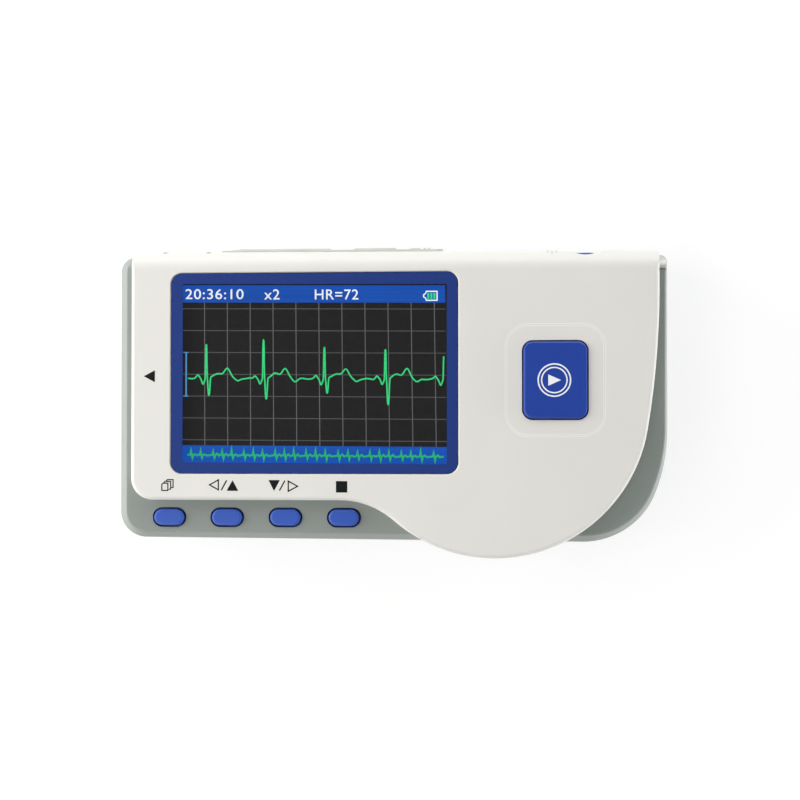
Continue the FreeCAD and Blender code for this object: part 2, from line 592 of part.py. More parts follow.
def window_border():
    z = (SHELF_Z[1], LENS_Z[0])
    return slab(LENS_X, LENS_Y, z, LENS_R).cut(slab(PRINT_X, PRINT_Y, (0.0, 30.0), 0.15))


def display_gasket():
    z = (BEZEL_Z[1], SHELF_Z[0])
    ring = slab(grow(BEZEL_X, -0.6), grow(BEZEL_Y, -0.6), z, 0.8)
    return ring.cut(slab(grow(PRINT_X, 0.6), grow(PRINT_Y, 0.6), (0.0, 30.0), 0.4))


def lcd_bezel():
    shell = slab(BEZEL_X, BEZEL_Y, BEZEL_Z, 0.5)
    room = box(grow(BEZEL_X, -SHEET), grow(BEZEL_Y, -SHEET), (0.0, BEZEL_Z[1] - SHEET))
    view = box(grow(PRINT_X, 0.4), grow(PRINT_Y, 0.4), (0.0, 30.0))
    return shell.cut(room).cut(view)


def lcd_panel():
    """Two bonded glasses: the lower one stands out at the left and carries the flex."""
    lower = box((BEZEL_X[0] + 0.5, BEZEL_X[1] - 0.5), grow(BEZEL_Y, -0.5), (17.0, 17.45))
    upper = box((BEZEL_X[0] + 1.9, BEZEL_X[1] - 0.6), grow(BEZEL_Y, -0.6), (17.45, 17.9))
    return union([lower, upper])


def lcd_backlight():
    tray = box(grow(BEZEL_X, -0.3), grow(BEZEL_Y, -0.3), (BEZEL_Z[0], 17.0))
    return tray.cut(box(grow(BEZEL_X, -1.5), grow(BEZEL_Y, -1.5), (15.6, 16.6)))


def lcd_light_guide():
    return box(grow(BEZEL_X, -1.55), grow(BEZEL_Y, -1.55), (15.65, 16.55))


def lcd_flex():
    left = BEZEL_X[0]
    low = [(left, 16.45), (left - 1.3, 16.45), (left - 2.6, 15.05), (left - 3.6, 15.05)]
    profile = low + [(x, z + 0.15) for x, z in reversed(low)]
    return swept_profile(profile, (-8.0, 12.0))


def flex_connector():
    block = box((-57.6, BEZEL_X[0] - 3.2), (-9.5, 13.5), (BOARD_TOP, 15.5))
    return block.cut(box((-56.0, -50.0), (-8.1, 12.1), (15.0, 15.25)))


# ================================================================ board
def main_board():
    outline = inset(BODY, 3.4)
    board = plate(outline, (BOARD_LOW, BOARD_TOP))
    board = board.common(box((-80.0, 80.0), (-40.0, 30.9), (0.0, 30.0)))
    for x, y in CASE_SCREWS:
        board = board.cut(upright(x, y, (12.0, 16.0), 2.8))
    for x, y in BOARD_SCREWS:
        board = board.cut(upright(x, y, (12.0, 16.0), 0.95))
    return board


def chip(centre, size, height, pitch, four_sided=False):
    """A flat package under the board with gull-wing pins on two or on all four sides."""
    x, y = around(centre, size)
    shoulder = BOARD_LOW - height * 0.6
    pieces = [box(x, y, (BOARD_LOW - height, BOARD_LOW - 0.1))]
    for along in (0, 1) if four_sided else (0,):
        count = int((size[along] - 1.2) / pitch)
        for i in range(count):
            place = centre[along] + (i - (count - 1) / 2) * pitch
            wide = (place - pitch * 0.2, place + pitch * 0.2)
            for end, way in (((y, x)[along][0], -1), ((y, x)[along][1], 1)):
                for start, z in ((-0.1, (shoulder, shoulder + 0.15)),
                                 (0.5, (shoulder, BOARD_LOW))):
                    span = tuple(sorted((end + way * start, end + way * 0.9)))
                    pair = (wide, span) if along == 0 else (span, wide)
                    pieces.append(box(pair[0], pair[1], z))
    return union(pieces)


def crystal():
    can = pill((-24.0, 1.5), (9.6, 4.2), (BOARD_LOW - 3.2, BOARD_LOW - 0.4))
    base = pill((-24.0, 1.5), (10.8, 4.6), (BOARD_LOW - 0.4, BOARD_LOW))
    return union([can, base])


def small_passives():
    """Rows of chip resistors and capacitors on the underside of the board."""
    parts = []
    for row, y in enumerate((18.5, -17.8)):
        for i in range(9):
            x = -53.5 + 2.9 * i + row * 1.2
            parts.append(box((x, x + 1.6), (y, y + 0.8), (BOARD_LOW - 0.6, BOARD_LOW)))
    for i in range(6):
        y = 16.2 + 1.9 * i
        parts.append(box((26.0, 28.0), (y, y + 1.2), (BOARD_LOW - 0.9, BOARD_LOW)))
    return group(parts)


def inductor():
    drum = upright(-4.5, 8.0, (BOARD_LOW - 3.0, BOARD_LOW), 3.0)
    waist = upright(-4.5, 8.0, (BOARD_LOW - 2.2, BOARD_LOW - 0.8), 4.0)
    return drum.cut(waist.cut(upright(-4.5, 8.0, (0.0, 20.0), 2.2)))


def clock_cell():
    cell = upright(-4.5, -4.0, (BOARD_LOW - 2.5, BOARD_LOW - 0.4), 3.4)
    strap = box((-9.3, 0.3), (-5.2, -2.8), (BOARD_LOW - 2.7, BOARD_LOW - 2.5))
    legs = [box(x, (-5.2, -2.8), (BOARD_LOW - 2.7, BOARD_LOW)) for x in ((-9.5, -9.2), (0.2, 0.5))]
    return union([strap, cell] + legs)


def buzzer():
    x, y = sound_holes()[0]
    drum = upright(x, y, (BOARD_LOW - 4.0, BOARD_LOW), 4.8)
    return drum.cut(upright(x, y, (BOARD_LOW - 5.0, BOARD_LOW - 3.4), 1.0))


def shield_can():
    lid = box((-54.0, -34.0), (-12.0, 14.0), (BOARD_LOW - 2.6, BOARD_LOW))
    return lid.cut(box((-53.8, -34.2), (-11.8, 13.8), (BOARD_LOW - 2.4, BOARD_LOW + 1)))


def power_switch():
    x, z = POWER
    body = box((x - 3.0, x + 3.0), (26.0, 29.2), (BOARD_TOP, DECK_LOW - 0.1))
    plunger = rod((x, 28.8, z), (0, 1, 0), 0.55, POWER_STEM_Y - POWER_TRAVEL - 0.1 - 28.8)
    return union([body, plunger])


# ================================================================ sockets
def socket_shell(x):
    """A folded steel shell, open to the front, closed at the back."""
    y = (SOCKET_MOUTH_Y - 8.2, SOCKET_MOUTH_Y)
    shell = box(x, y, SOCKET_Z)
    return shell.cut(box(grow(x, -0.3), (y[0] + 0.3, y[1] + 1), grow(SOCKET_Z, -0.3)))


def socket_tongue(x, thickness):
    """The moulded tongue and its rear block inside a shell."""
    y0 = SOCKET_MOUTH_Y - 7.9
    middle = sum(SOCKET_Z) / 2
    block = box(grow(x, -0.35), (y0, y0 + 2.4), grow(SOCKET_Z, -0.35))
    tongue = box(grow(x, -1.4), (y0, SOCKET_MOUTH_Y - 1.2),
                 (middle - thickness / 2, middle + thickness / 2))
    return union([block, tongue])


def socket_contacts(x, count, thickness):
    """Flat contacts laid on the tongue."""
    z = sum(SOCKET_Z) / 2 - thickness / 2
    pitch = (x[1] - x[0] - 4.0) / count
    strips = []
    for i in range(count):
        place = (x[0] + x[1]) / 2 + (i - (count - 1) / 2) * pitch
        strips.append(box((place - pitch * 0.25, place + pitch * 0.25),
                          (SOCKET_MOUTH_Y - 5.4, SOCKET_MOUTH_Y - 1.5), (z - 0.12, z)))
    return strips


# ================================================================ electrodes
def electrode_plate(side, y, gap=0.0):
    """A stainless plate let into an end wall and standing a little proud of it."""
    wall = BODY[3][0] * side
    depth = 0.5
    size = (y[1] - y[0], ELECTRODE_Z[1] - ELECTRODE_Z[0])
    flat = slab(grow((-size[0] / 2, size[0] / 2), gap), grow((-size[1] / 2, size[1] / 2), gap),
                (0.0, depth + ELECTRODE_PROUD), 1.6)
    flat.rotate(vec(0, 0, 0), vec(0, 0, 1), 90)
    flat.rotate(vec(0, 0, 0), vec(0, 1, 0), 90 * side)
    flat.translate(vec(wall - side * depth, (y[0] + y[1]) / 2, sum(ELECTRODE_Z) / 2))
    return flat


def electrode_stud(side, y, gap=0.0):
    wall = BODY[3][0] * side
    start = (wall - side * 0.4, (y[0] + y[1]) / 2, sum(ELECTRODE_Z) / 2)
    return rod(start, (-side, 0, 0), 0.9 + gap, 2.4)


def corner_room(gap=0.0):
    """Room for the part of the index finger's electrode that wraps over the corner."""
    outside = box((CAP_X - gap, 70.0), (CAP_Y - gap, 40.0), (ELECTRODE_Z[0] - gap, 30.0))
    return outside.cut(box((50.0, 61.5 - gap), (20.0, 32.0 - gap), (0.0, 17.5 - gap)))


def corner_link(gap=0.0):
    """The strip of the end wall's plate that runs on to the corner."""
    wall = BODY[3][0]
    return box((wall - 0.5 - gap, wall + ELECTRODE_PROUD), (26.0, CAP_Y + 0.6),
               grow(ELECTRODE_Z, gap))


def cap_bevel():
    """Wedge that takes the sharp edge off the cap where it meets the ledge."""
    near, size = CAP_Y + 0.3, 1.0
    return swept_side([(near, LEDGE_Z), (near - size, LEDGE_Z - size), (near - size, LEDGE_Z + size),
                       (near + size, LEDGE_Z + size)], (CAP_X - 1.0, 70.0))


def electrode(side, y):
    skin = electrode_plate(side, y)
    outer_x = side * (BODY[3][0] + ELECTRODE_PROUD)
    touched = [f for f in skin.Faces if abs(f.CenterOfMass.x - outer_x) < 0.01]
    skin = skin.makeFillet(0.12, touched[0].Edges)
    return union([skin, electrode_stud(side, y)])


def electrode_springs():
    """A bent strip from the board's underside to the end of each stud."""
    springs = []
    for side, y in ELECTRODES.values():
        middle = (y[0] + y[1]) / 2
        stud_end = BODY[3][0] - 2.8
        leg = sorted((side * stud_end, side * (stud_end - 0.2)))
        foot = sorted((side * stud_end, side * (stud_end - 2.5)))
        width = (middle - 1.4, middle + 1.4)
        springs.append(union([box(leg, width, (10.3, BOARD_LOW)),
                              box(foot, width, (BOARD_LOW - 0.2, BOARD_LOW))]))
    return group(springs)


# ================================================================ battery parts
def cell(y, positive_x, direction):
    """One cell: can and contact nub; direction points from the nub into the cell."""
    nub = rod((positive_x, y, CELL_Z), (direction, 0, 0), 1.9, 1.2)
    can = rod((positive_x + direction, y, CELL_Z), (direction, 0, 0), CELL_R, CELL_LENGTH - 1.0)
    rims = [e for e in can.Edges if e.BoundBox.XLength < 0.01]
    can = can.makeFillet(0.4, rims)
    return union([can, nub])


def battery_cells():
    left, right = BAY_X[0] + 0.5, BAY_X[1] - 0.5
    return group([cell(CELL_Y[0], right, -1), cell(CELL_Y[1], left, 1)])


def leaf_spring(plate_x, cell_x, y):
    """A stamped tongue that bows out from the contact plate and presses on the cell."""
    way = 1 if cell_x > plate_x else -1
    reach = abs(cell_x - plate_x)
    low = [(-0.1, 3.0), (0.4, 3.2), (reach * 0.7, 5.0), (reach, 6.9), (reach * 0.7, 8.8), (0.4, 9.8)]
    inner = [(-0.1, 3.5)] + [(d - 0.3, z) for d, z in low[1:]]
    profile = [(plate_x + way * d, z) for d, z in low + inner[::-1]]
    return swept_profile(profile, (y - 2.0, y + 2.0))


def contact_plate(x, y):
    return box(x, y, (2.6, 11.2))


def battery_contacts():
    """Bridge at the left end, and two separate contacts with tails to the board at the right."""
    left, right = BAY_X[0] + 0.05, BAY_X[1] - 0.05
    thick = 0.4
    far_low, far_high = BAY_X[1] - 0.5 - CELL_LENGTH, BAY_X[0] + 0.5 + CELL_LENGTH
    bridge = union([contact_plate((left, left + thick), (-11.4, 8.6)),
                    leaf_spring(left + thick, far_low, CELL_Y[0])])
    plus = union([contact_plate((right - thick, right), (-11.4, -2.6)),
                  box((right - thick, right), (-8.0, -6.0), (11.0, BOARD_LOW))])
    minus = union([contact_plate((right - thick, right), (-0.2, 8.6)),
                   leaf_spring(right - thick, far_high, CELL_Y[1]),
                   box((right - thick, right), (3.2, 5.2), (11.0, BOARD_LOW))])
    return bridge, plus, minus


# ================================================================ fasteners
def screw(x, y, seat, head, shank, length, head_height):
    """A cross-recess screw driven upward; seat is the height of the head's flat."""
    body = union([upright(x, y, (seat - head_height, seat), head),
                  upright(x, y, (seat - 0.1, seat + length), shank)])
    slot_z = (seat - head_height - 1, seat - head_height * 0.45)
    for size in ((head * 1.1, 0.45), (0.45, head * 1.1)):
        body = body.cut(box(*around((x, y), size), slot_z))
    return body


def case_screws():
    return group([screw(x, y, 4.0, 1.9, 1.0, 12.0, 1.4) for x, y in CASE_SCREWS])


def board_screws():
    return group([screw(x, y, BOARD_LOW, 1.5, 0.8, 3.4, 1.0) for x, y in BOARD_SCREWS])


# ================================================================ all nodes
def all_nodes():
    nodes = {
        "rear_cover": rear_cover(),
        "front_frame": front_frame(),
        "front_cover": front_cover(),
        "battery_door": battery_door(),
        "port_cover": port_cover(),
        "port_cover_root": port_cover_root(),
        "display_window": display_window(),
        "window_border": window_border(),
        "display_gasket": display_gasket(),
        "lcd_bezel": lcd_bezel(),
        "lcd_panel": lcd_panel(),
        "lcd_backlight": lcd_backlight(),
        "lcd_light_guide": lcd_light_guide(),
        "lcd_flex": lcd_flex(),
        "flex_connector": flex_connector(),
        "measure_key": measure_key(),
        "power_key": power_key(),
        "key_strip_mat": key_strip_mat(),
        "measure_key_mat": measure_key_mat(),
        "dome_contacts": dome_contacts(),
        "main_board": main_board(),
        "processor": chip((-22.0, 12.5), (12.0, 12.0), 1.4, 0.8, four_sided=True),
        "memory_chip": chip((-6.0, 17.5), (8.0, 11.0), 1.1, 0.8),
        "ecg_amplifier": chip((-44.0, 0.0), (8.0, 6.0), 1.5, 1.27),
        "regulator": chip((33.0, 22.0), (5.0, 4.0), 1.5, 1.27),
        "crystal": crystal(),
        "small_passives": small_passives(),
        "inductor": inductor(),
        "clock_cell": clock_cell(),
        "buzzer": buzzer(),
        "shield_can": shield_can(),
        "power_switch": power_switch(),
        "lead_socket_shell": socket_shell(LEAD_X),
        "lead_socket_tongue": socket_tongue(LEAD_X, 1.2),
        "lead_socket_contacts": group(socket_contacts(LEAD_X, 9, 1.2)),
        "usb_socket_shell": socket_shell(USB_X),
        "usb_socket_tongue": socket_tongue(USB_X, 0.9),
        "usb_socket_contacts": group(socket_contacts(USB_X, 5, 0.9)),
        "electrode_springs": electrode_springs(),
        "battery_cells": battery_cells(),
        "case_screws": case_screws(),
        "board_screws": board_screws(),
    }
    for name, x in OVAL_KEYS.items():
        nodes[name] = oval_key(x)
    for name, (side, y) in ELECTRODES.items():
        nodes[name] = electrode(side, y)
    cap = grey_solid().common(corner_room()).cut(cap_bevel())
    nodes["index_electrode"] = union([nodes["index_electrode"], corner_link(), cap])
    for name, shape in zip(("battery_bridge", "battery_plus_contact", "battery_minus_contact"),
                           battery_contacts()):
        nodes[name] = shape
    return nodes


os.makedirs("parts", exist_ok=True)
for node, node_shape in all_nodes().items():
    save(node, node_shape)
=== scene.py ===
"""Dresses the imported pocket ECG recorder: finishes, lit display, printed signs and studio."""
import math
import random

import bmesh
import bpy
from bpy.props import (FloatProperty, FloatVectorProperty, IntProperty, PointerProperty,
                       StringProperty)
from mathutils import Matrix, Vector


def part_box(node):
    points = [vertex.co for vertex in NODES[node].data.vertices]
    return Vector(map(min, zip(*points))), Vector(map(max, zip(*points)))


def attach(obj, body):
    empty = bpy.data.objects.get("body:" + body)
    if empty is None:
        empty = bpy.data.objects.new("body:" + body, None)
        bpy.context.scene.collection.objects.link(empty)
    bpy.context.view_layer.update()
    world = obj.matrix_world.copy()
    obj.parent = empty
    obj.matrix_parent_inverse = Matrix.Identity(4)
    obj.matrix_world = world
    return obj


bl_info = {
    "name": "Pocket ECG recorder",
    "version": (1, 0, 0),
    "blender": (4, 5, 0),
    "location": "View3D > Sidebar > Recorder",
    "description": "Finishes, display picture, printed signs and studio for a pocket ECG recorder",
    "category": "Object",
}

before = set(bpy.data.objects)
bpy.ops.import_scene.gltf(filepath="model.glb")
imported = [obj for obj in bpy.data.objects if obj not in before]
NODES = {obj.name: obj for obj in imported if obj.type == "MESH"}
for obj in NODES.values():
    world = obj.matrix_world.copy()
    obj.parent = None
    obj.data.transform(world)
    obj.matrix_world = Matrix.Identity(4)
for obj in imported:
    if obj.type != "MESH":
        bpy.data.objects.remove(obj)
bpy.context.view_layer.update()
MM = 0.001
CASE = "recorder"        # the body that stays still


def top_of(node):
    """Height of a node's highest point, in millimetres."""
    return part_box(node)[1].z / MM


# ------------------------ added layers, mm
PANEL_TOP = top_of("lcd_panel")
COVER_FACE = 21.0
LAYER, INK = 0.02, 0.012     # thickness of a lit layer and of printed ink

# the shallow groove round the measuring key: its middle, its floor's depth, and for each edge its
# size, corner radius, and how far its painted highlight line reaches outwards and inwards
GROOVE_MIDDLE, GROOVE_FLOOR = (37.35, 4.82), 0.13
GROOVE_EDGES = (((22.35, 25.3), 5.1, 0.11, -0.04), ((21.61, 24.56), 4.73, 0.04, -0.11))

# the measuring key's sign: its middle, two rings as outer and inner radius, and an arrow
KEY_SIGN_MIDDLE = (37.13, 4.79)
KEY_SIGN_RINGS = ((3.76, 3.44), (2.98, 2.68))
KEY_SIGN_ARROW = ((-1.36, -1.27), (1.5, 0.0), (-1.36, 1.27))

# the roll of the cover's face into its top side, and the power sign that stands on it
ROLL_R, ROLL_Y, ROLL_Z = 4.45, 29.86, 16.55
ROLL_START, ROLL_SIGN_X = math.radians(20), 36.7
POWER_GAP, POWER_RADIUS, POWER_STEPS = math.radians(35), 1.12, 40
POWER_BAR_FOOT, POWER_BAR_STEP = 0.1, 0.125

# ------------------------ display picture, mm
# the print on the window's face: its outside and its opening, as x pair, y pair, corner radius
PRINT_OUT = ((-49.78, 15.46), (-16.11, 29.26), 2.48)
PRINT_IN = ((-47.13, 13.06), (-13.65, 26.95), 0.3)
PICTURE_X, PICTURE_Y = (-47.85, 12.56), (-13.95, 26.91)
# the panel sits a touch askew: the lower right corner stands out, and all rows fall to the right
LEAN, FALL = 0.38, 0.007
HEADER_LOW, STRIP_HIGH = 22.92, -9.77
# the grid: x of the first column at its top and foot, how much closer the columns are at the top
COLUMNS, COLUMN_HALF = 11, 0.1
COLUMN_TOP, COLUMN_LOW, NARROWING = -42.66, -42.535, 0.032
ROWS, ROW_HALF, ROW_Y, ROW_PITCH = 7, 0.09, 21.50, 5.007

# the heart trace: level, margin at the left, step, margin at the right, ripple, and each beat as
# x, height of the peak and depth of the trough
BASELINE, TRACE_START, TRACE_STEP, TRACE_REST = 5.55, 1.4, 0.06, 0.3
RIPPLE, RIPPLE_RATE = 0.1, 2.1
BEATS = [(-42.23, 7.75, -4.0), (-28.99, 8.65, -4.7), (-14.99, 7.1, -3.4), (-1.04, 6.7, -5.75),
         (12.3, 5.35, -4.0)]
# the slow waves of one beat: distance from the peak, half width, height
WAVES = [(-1.95, 0.42, 0.65), (-0.75, 0.38, -1.25), (2.7, 1.3, 1.15), (4.95, 0.95, 2.25),
         (7.3, 0.7, -0.6)]
SPIKE, DROP = 0.17, (0.64, 0.27)     # half width of the peak; place and half width of the trough

# the overview strip: its level, ends and line width, where its beats lie, and their spacing
STRIP_LINE, STRIP_ENDS, STRIP_WIDTH = -12.05, (-46.5, 12.2), 0.42
STRIP_BEATS, STRIP_SPACING = (-45.7, 11.6), (2.2, 2.9, 2.15)

# the gain mark: middle, ends, half the stem's width, an end bar's reach left, right, and half its
# height; then the readings' boxes as x0, y0, x1, y1
GAIN_X, GAIN_Y, GAIN_STEM, GAIN_END = -46.88, (1.45, 11.45), 0.18, (-0.6, 0.5, 0.13)
CLOCK_BOX = (-47.1, 23.68, -33.62, 26.02)
GAIN_BOX = (-28.86, 23.64, -25.3, 25.98)
RATE_BOX = (-17.2, 23.62, -7.2, 25.96)
BATTERY_OUTLINE = [(8.2, 23.35), (10.85, 23.35), (10.85, 25.65), (8.2, 25.65), (8.0, 25.1),
                   (7.55, 24.85), (7.55, 24.15), (8.0, 23.9)]
BATTERY_LINE, BATTERY_BARS, BAR_WIDTH, BAR_Y = 0.26, (8.5, 9.2, 9.9), 0.45, (23.8, 25.2)

# ------------------------ studio, metres and degrees
EYE, EYE_TURN = (0.03177, -0.00735, 0.3972), (1.177, 4.448, -0.006)
LENS_MM, SENSOR_MM, NEAREST = 75.397, 36.0, 0.01
FLOOR_HALF, FLOOR_DROP = 3.0, 0.0002
FLOOR_FADE, FLOOR_WHITE = (0.5, 1.8), (1.12, 1.42)   # distances, and the paper's white there
FLOOR_SHARE = 0.7            # share of that white in what the eye or a mirror sees
WALL_TOP = (0.1, 1.0)        # sine of the height where the walls begin and end to dim
WALL_LIGHT = (0.4, 0.1)      # the light they give, low down and overhead
WALL_SEEN = (1.0, 0.1)       # how bright polished faces show them
LAMP_AIM = (0.0, 0.0, 0.01)
# each lamp's place, size, watts and colour, and whether steel mirrors it
LAMPS = {
    "left_softbox": ((-0.66, 0.12, 0.23), (0.6, 0.4), 5.3, "fffdfb", False),
    "far_softbox": ((0.1, 0.95, 0.42), (2.0, 0.8), 7.9, "fafcff", True),
    "right_softbox": ((0.8, -0.15, 0.06), (0.7, 0.1), 5.6, "f8fbff", False),
    "near_softbox": ((-0.5, -0.28, 0.75), (0.9, 0.5), 3.6, "fffefe", True),
}


# ======================== colour and nodes
def linear(hex_colour):
    """An sRGB hex colour as the linear RGBA that a shader takes."""
    channels = [int(hex_colour[i:i + 2], 16) / 255 for i in (0, 2, 4)]
    return [c / 12.92 if c <= 0.04045 else ((c + 0.055) / 1.055) ** 2.4 for c in channels] + [1.0]


def tint(colour, factor):
    """The colour made darker or lighter."""
    return [min(c * factor, 1.0) for c in colour[:3]] + [1.0]


def add(tree, kind, values=None, links=None, **settings):
    """One node with its settings, its socket values and the sockets that feed it."""
    node = tree.nodes.new(kind)
    for name, value in settings.items():
        setattr(node, name, value)
    for socket, value in (values or {}).items():
        node.inputs[socket].default_value = value
    for socket, (source, output) in (links or {}).items():
        tree.links.new(source.outputs[output], node.inputs[socket])
    return node


def new_material(name):
    """An empty material and its node tree."""
    material = bpy.data.materials.new(name)
    material.use_nodes = True
    tree = material.node_tree
    tree.nodes.clear()
    return material, tree


def surfaced(material, shader, output="BSDF"):
    """The material with that shader on its surface."""
    add(material.node_tree, "ShaderNodeOutputMaterial", links={"Surface": (shader, output)})
    return material


def spots(tree, size_mm, detail=2.0, stretch=(1, 1, 1), roughness=0.5):
    """Noise whose blobs are about size_mm across on the object."""
    place = add(tree, "ShaderNodeTexCoord")
    spread = add(tree, "ShaderNodeMapping", {"Scale": [s / (size_mm * MM) for s in stretch]},
                 {"Vector": (place, "Object")})
    return add(tree, "ShaderNodeTexNoise",
               {"Scale": 1.0, "Detail": detail, "Roughness": roughness},
               {"Vector": (spread, "Vector")})


NOISE = (0.3, 0.7)       # the range that nearly all of a noise's values lie in


def between(tree, noise, low, high):
    """The noise's factor carried onto a range of numbers."""
    return add(tree, "ShaderNodeMapRange",
               {"From Min": NOISE[0], "From Max": NOISE[1], "To Min": low, "To Max": high},
               {"Value": (noise, "Fac")})


def shades(tree, noise, dark, light):
    """The noise's factor as a run between two close colours."""
    ramp = add(tree, "ShaderNodeValToRGB", links={"Fac": (noise, "Fac")})
    for stop, place, colour in zip(ramp.color_ramp.elements, NOISE, (dark, light)):
        stop.position, stop.color = place, colour
    return ramp


def relief(tree, source, depth_mm, output="Fac"):
    """Fine relief of that depth from a pattern."""
    return add(tree, "ShaderNodeBump", {"Distance": depth_mm * MM}, {"Height": (source, output)})


# ======================== finishes
def moulded(name, colour, roughness, grain_mm, depth_mm, mottle=0.025, coat=0.0):
    """Injection moulded plastic from a spark-eroded tool: a fine even grain of that depth breaks
    up the gloss, and the flow of the melt left a very faint mottling."""
    flow_mm, spread, coat_roughness, ior = 14.0, 0.04, 0.12, 1.53
    material, tree = new_material(name)
    flow = spots(tree, flow_mm, 3.0)
    grain = spots(tree, grain_mm, 1.0, roughness=0.6)
    base = shades(tree, flow, tint(colour, 1 - mottle), tint(colour, 1 + mottle))
    gloss = between(tree, grain, roughness - spread, roughness + spread)
    bump = relief(tree, grain, depth_mm)
    shader = add(tree, "ShaderNodeBsdfPrincipled",
                 {"IOR": ior, "Coat Weight": coat, "Coat Roughness": coat_roughness},
                 {"Base Color": (base, "Color"), "Roughness": (gloss, "Result"),
                  "Normal": (bump, "Normal")})
    return surfaced(material, shader)


def elastomer(name, colour, roughness=0.62):
    """Moulded soft rubber: matt, with a soft bloom that lightens it at a low angle."""
    cloud_mm, grain_mm, depth_mm = 6.0, 0.25, 0.012
    bloom, bloom_roughness, ior = 0.12, 0.5, 1.45
    material, tree = new_material(name)
    cloud = spots(tree, cloud_mm, 4.0)
    grain = spots(tree, grain_mm, 1.0)
    base = shades(tree, cloud, tint(colour, 0.95), tint(colour, 1.04))
    bump = relief(tree, grain, depth_mm)
    shader = add(tree, "ShaderNodeBsdfPrincipled",
                 {"Roughness": roughness, "IOR": ior, "Sheen Weight": bloom,
                  "Sheen Roughness": bloom_roughness},
                 {"Base Color": (base, "Color"), "Normal": (bump, "Normal")})
    return surfaced(material, shader)


def metal(name, colour, roughness, stretch=(1, 1, 1), line_mm=0.25, depth_mm=0.004):
    """Sheet or turned metal: fine lines left by rolling or brushing, long along one axis."""
    stain_mm, spread = 5.0, 0.07
    material, tree = new_material(name)
    lines = spots(tree, line_mm, 3.0, stretch)
    stain = spots(tree, stain_mm, 2.0)
    base = shades(tree, stain, tint(colour, 0.94), tint(colour, 1.03))
    gloss = between(tree, lines, roughness - spread, roughness + spread)
    bump = relief(tree, lines, depth_mm)
    shader = add(tree, "ShaderNodeBsdfPrincipled", {"Metallic": 1.0},
                 {"Base Color": (base, "Color"), "Roughness": (gloss, "Result"),
                  "Normal": (bump, "Normal")})
    return surfaced(material, shader)


def clear(name, colour, roughness=0.015):
    """Cast or moulded clear plastic with polished faces; only faint handling marks dull it.
    Lamplight passes straight through, as it does through a thin flat sheet."""
    mark_mm, mark_roughness, ior = 9.0, 0.02, 1.49
    material, tree = new_material(name)
    haze = spots(tree, mark_mm, 4.0)
    gloss = between(tree, haze, roughness, roughness + mark_roughness)
    shader = add(tree, "ShaderNodeBsdfPrincipled",
                 {"Base Color": colour, "Transmission Weight": 1.0, "IOR": ior},
                 {"Roughness": (gloss, "Result")})
    path = add(tree, "ShaderNodeLightPath")
    passed = add(tree, "ShaderNodeBsdfTransparent", {"Color": colour})
    both = add(tree, "ShaderNodeMixShader",
               links={0: (path, "Is Shadow Ray"), 1: (shader, "BSDF"), 2: (passed, "BSDF")})
    return surfaced(material, both, "Shader")


def lit(name, colour, glow):
    """A part of the backlit picture: the colour is light that comes through the panel, a little
    uneven, with the faint comb of the panel's rows drawn at twice its real pitch so it shows."""
    cloud_mm, comb_mm, along = 16.0, 0.46, 0.01
    unlit, roughness, ior, reflection = 0.12, 0.45, 1.5, 0.2
    material, tree = new_material(name)
    uneven = spots(tree, cloud_mm, 1.0)
    comb = spots(tree, comb_mm, 0.0, (along, 1, 1))
    base = shades(tree, comb, tint(colour, 0.90), tint(colour, 1.06))
    cloud = between(tree, uneven, 0.94, 1.05)
    light = add(tree, "ShaderNodeMix", {"Factor": 1.0}, {6: (base, "Color"), 7: (cloud, "Result")},
                data_type="RGBA", blend_type="MULTIPLY")
    shader = add(tree, "ShaderNodeBsdfPrincipled",
                 {"Base Color": tint(colour, unlit), "Roughness": roughness, "IOR": ior,
                  "Specular IOR Level": reflection, "Emission Strength": glow},
                 {"Emission Color": (light, 2)})
    return surfaced(material, shader)


def printed(name, colour, roughness=0.4, gloss=0.5):
    """Printed ink: even, a little glossier or duller than the plastic, thinner in specks."""
    speck_mm, ior = 0.35, 1.5
    material, tree = new_material(name)
    specks = spots(tree, speck_mm, 3.0)
    base = shades(tree, specks, tint(colour, 0.9), tint(colour, 1.1))
    shader = add(tree, "ShaderNodeBsdfPrincipled",
                 {"Roughness": roughness, "IOR": ior, "Specular IOR Level": gloss},
                 {"Base Color": (base, "Color")})
    return surfaced(material, shader)


def solder_mask():
    """Glass-cloth laminate under green lacquer: the weave is a faint raised check."""
    weave_mm, weave_depth_mm, cloud_mm, roughness, ior = 0.5, 0.006, 3.0, 0.28, 1.5
    material, tree = new_material("green_solder_mask_on_laminate")
    place = add(tree, "ShaderNodeTexCoord")
    weave = add(tree, "ShaderNodeTexChecker", {"Scale": 1 / (weave_mm * MM)},
                {"Vector": (place, "Object")})
    cloud = spots(tree, cloud_mm, 3.0)
    base = shades(tree, cloud, linear("0c4a26"), linear("14643a"))
    bump = relief(tree, weave, weave_depth_mm)
    shader = add(tree, "ShaderNodeBsdfPrincipled", {"Roughness": roughness, "IOR": ior},
                 {"Base Color": (base, "Color"), "Normal": (bump, "Normal")})
    return surfaced(material, shader)


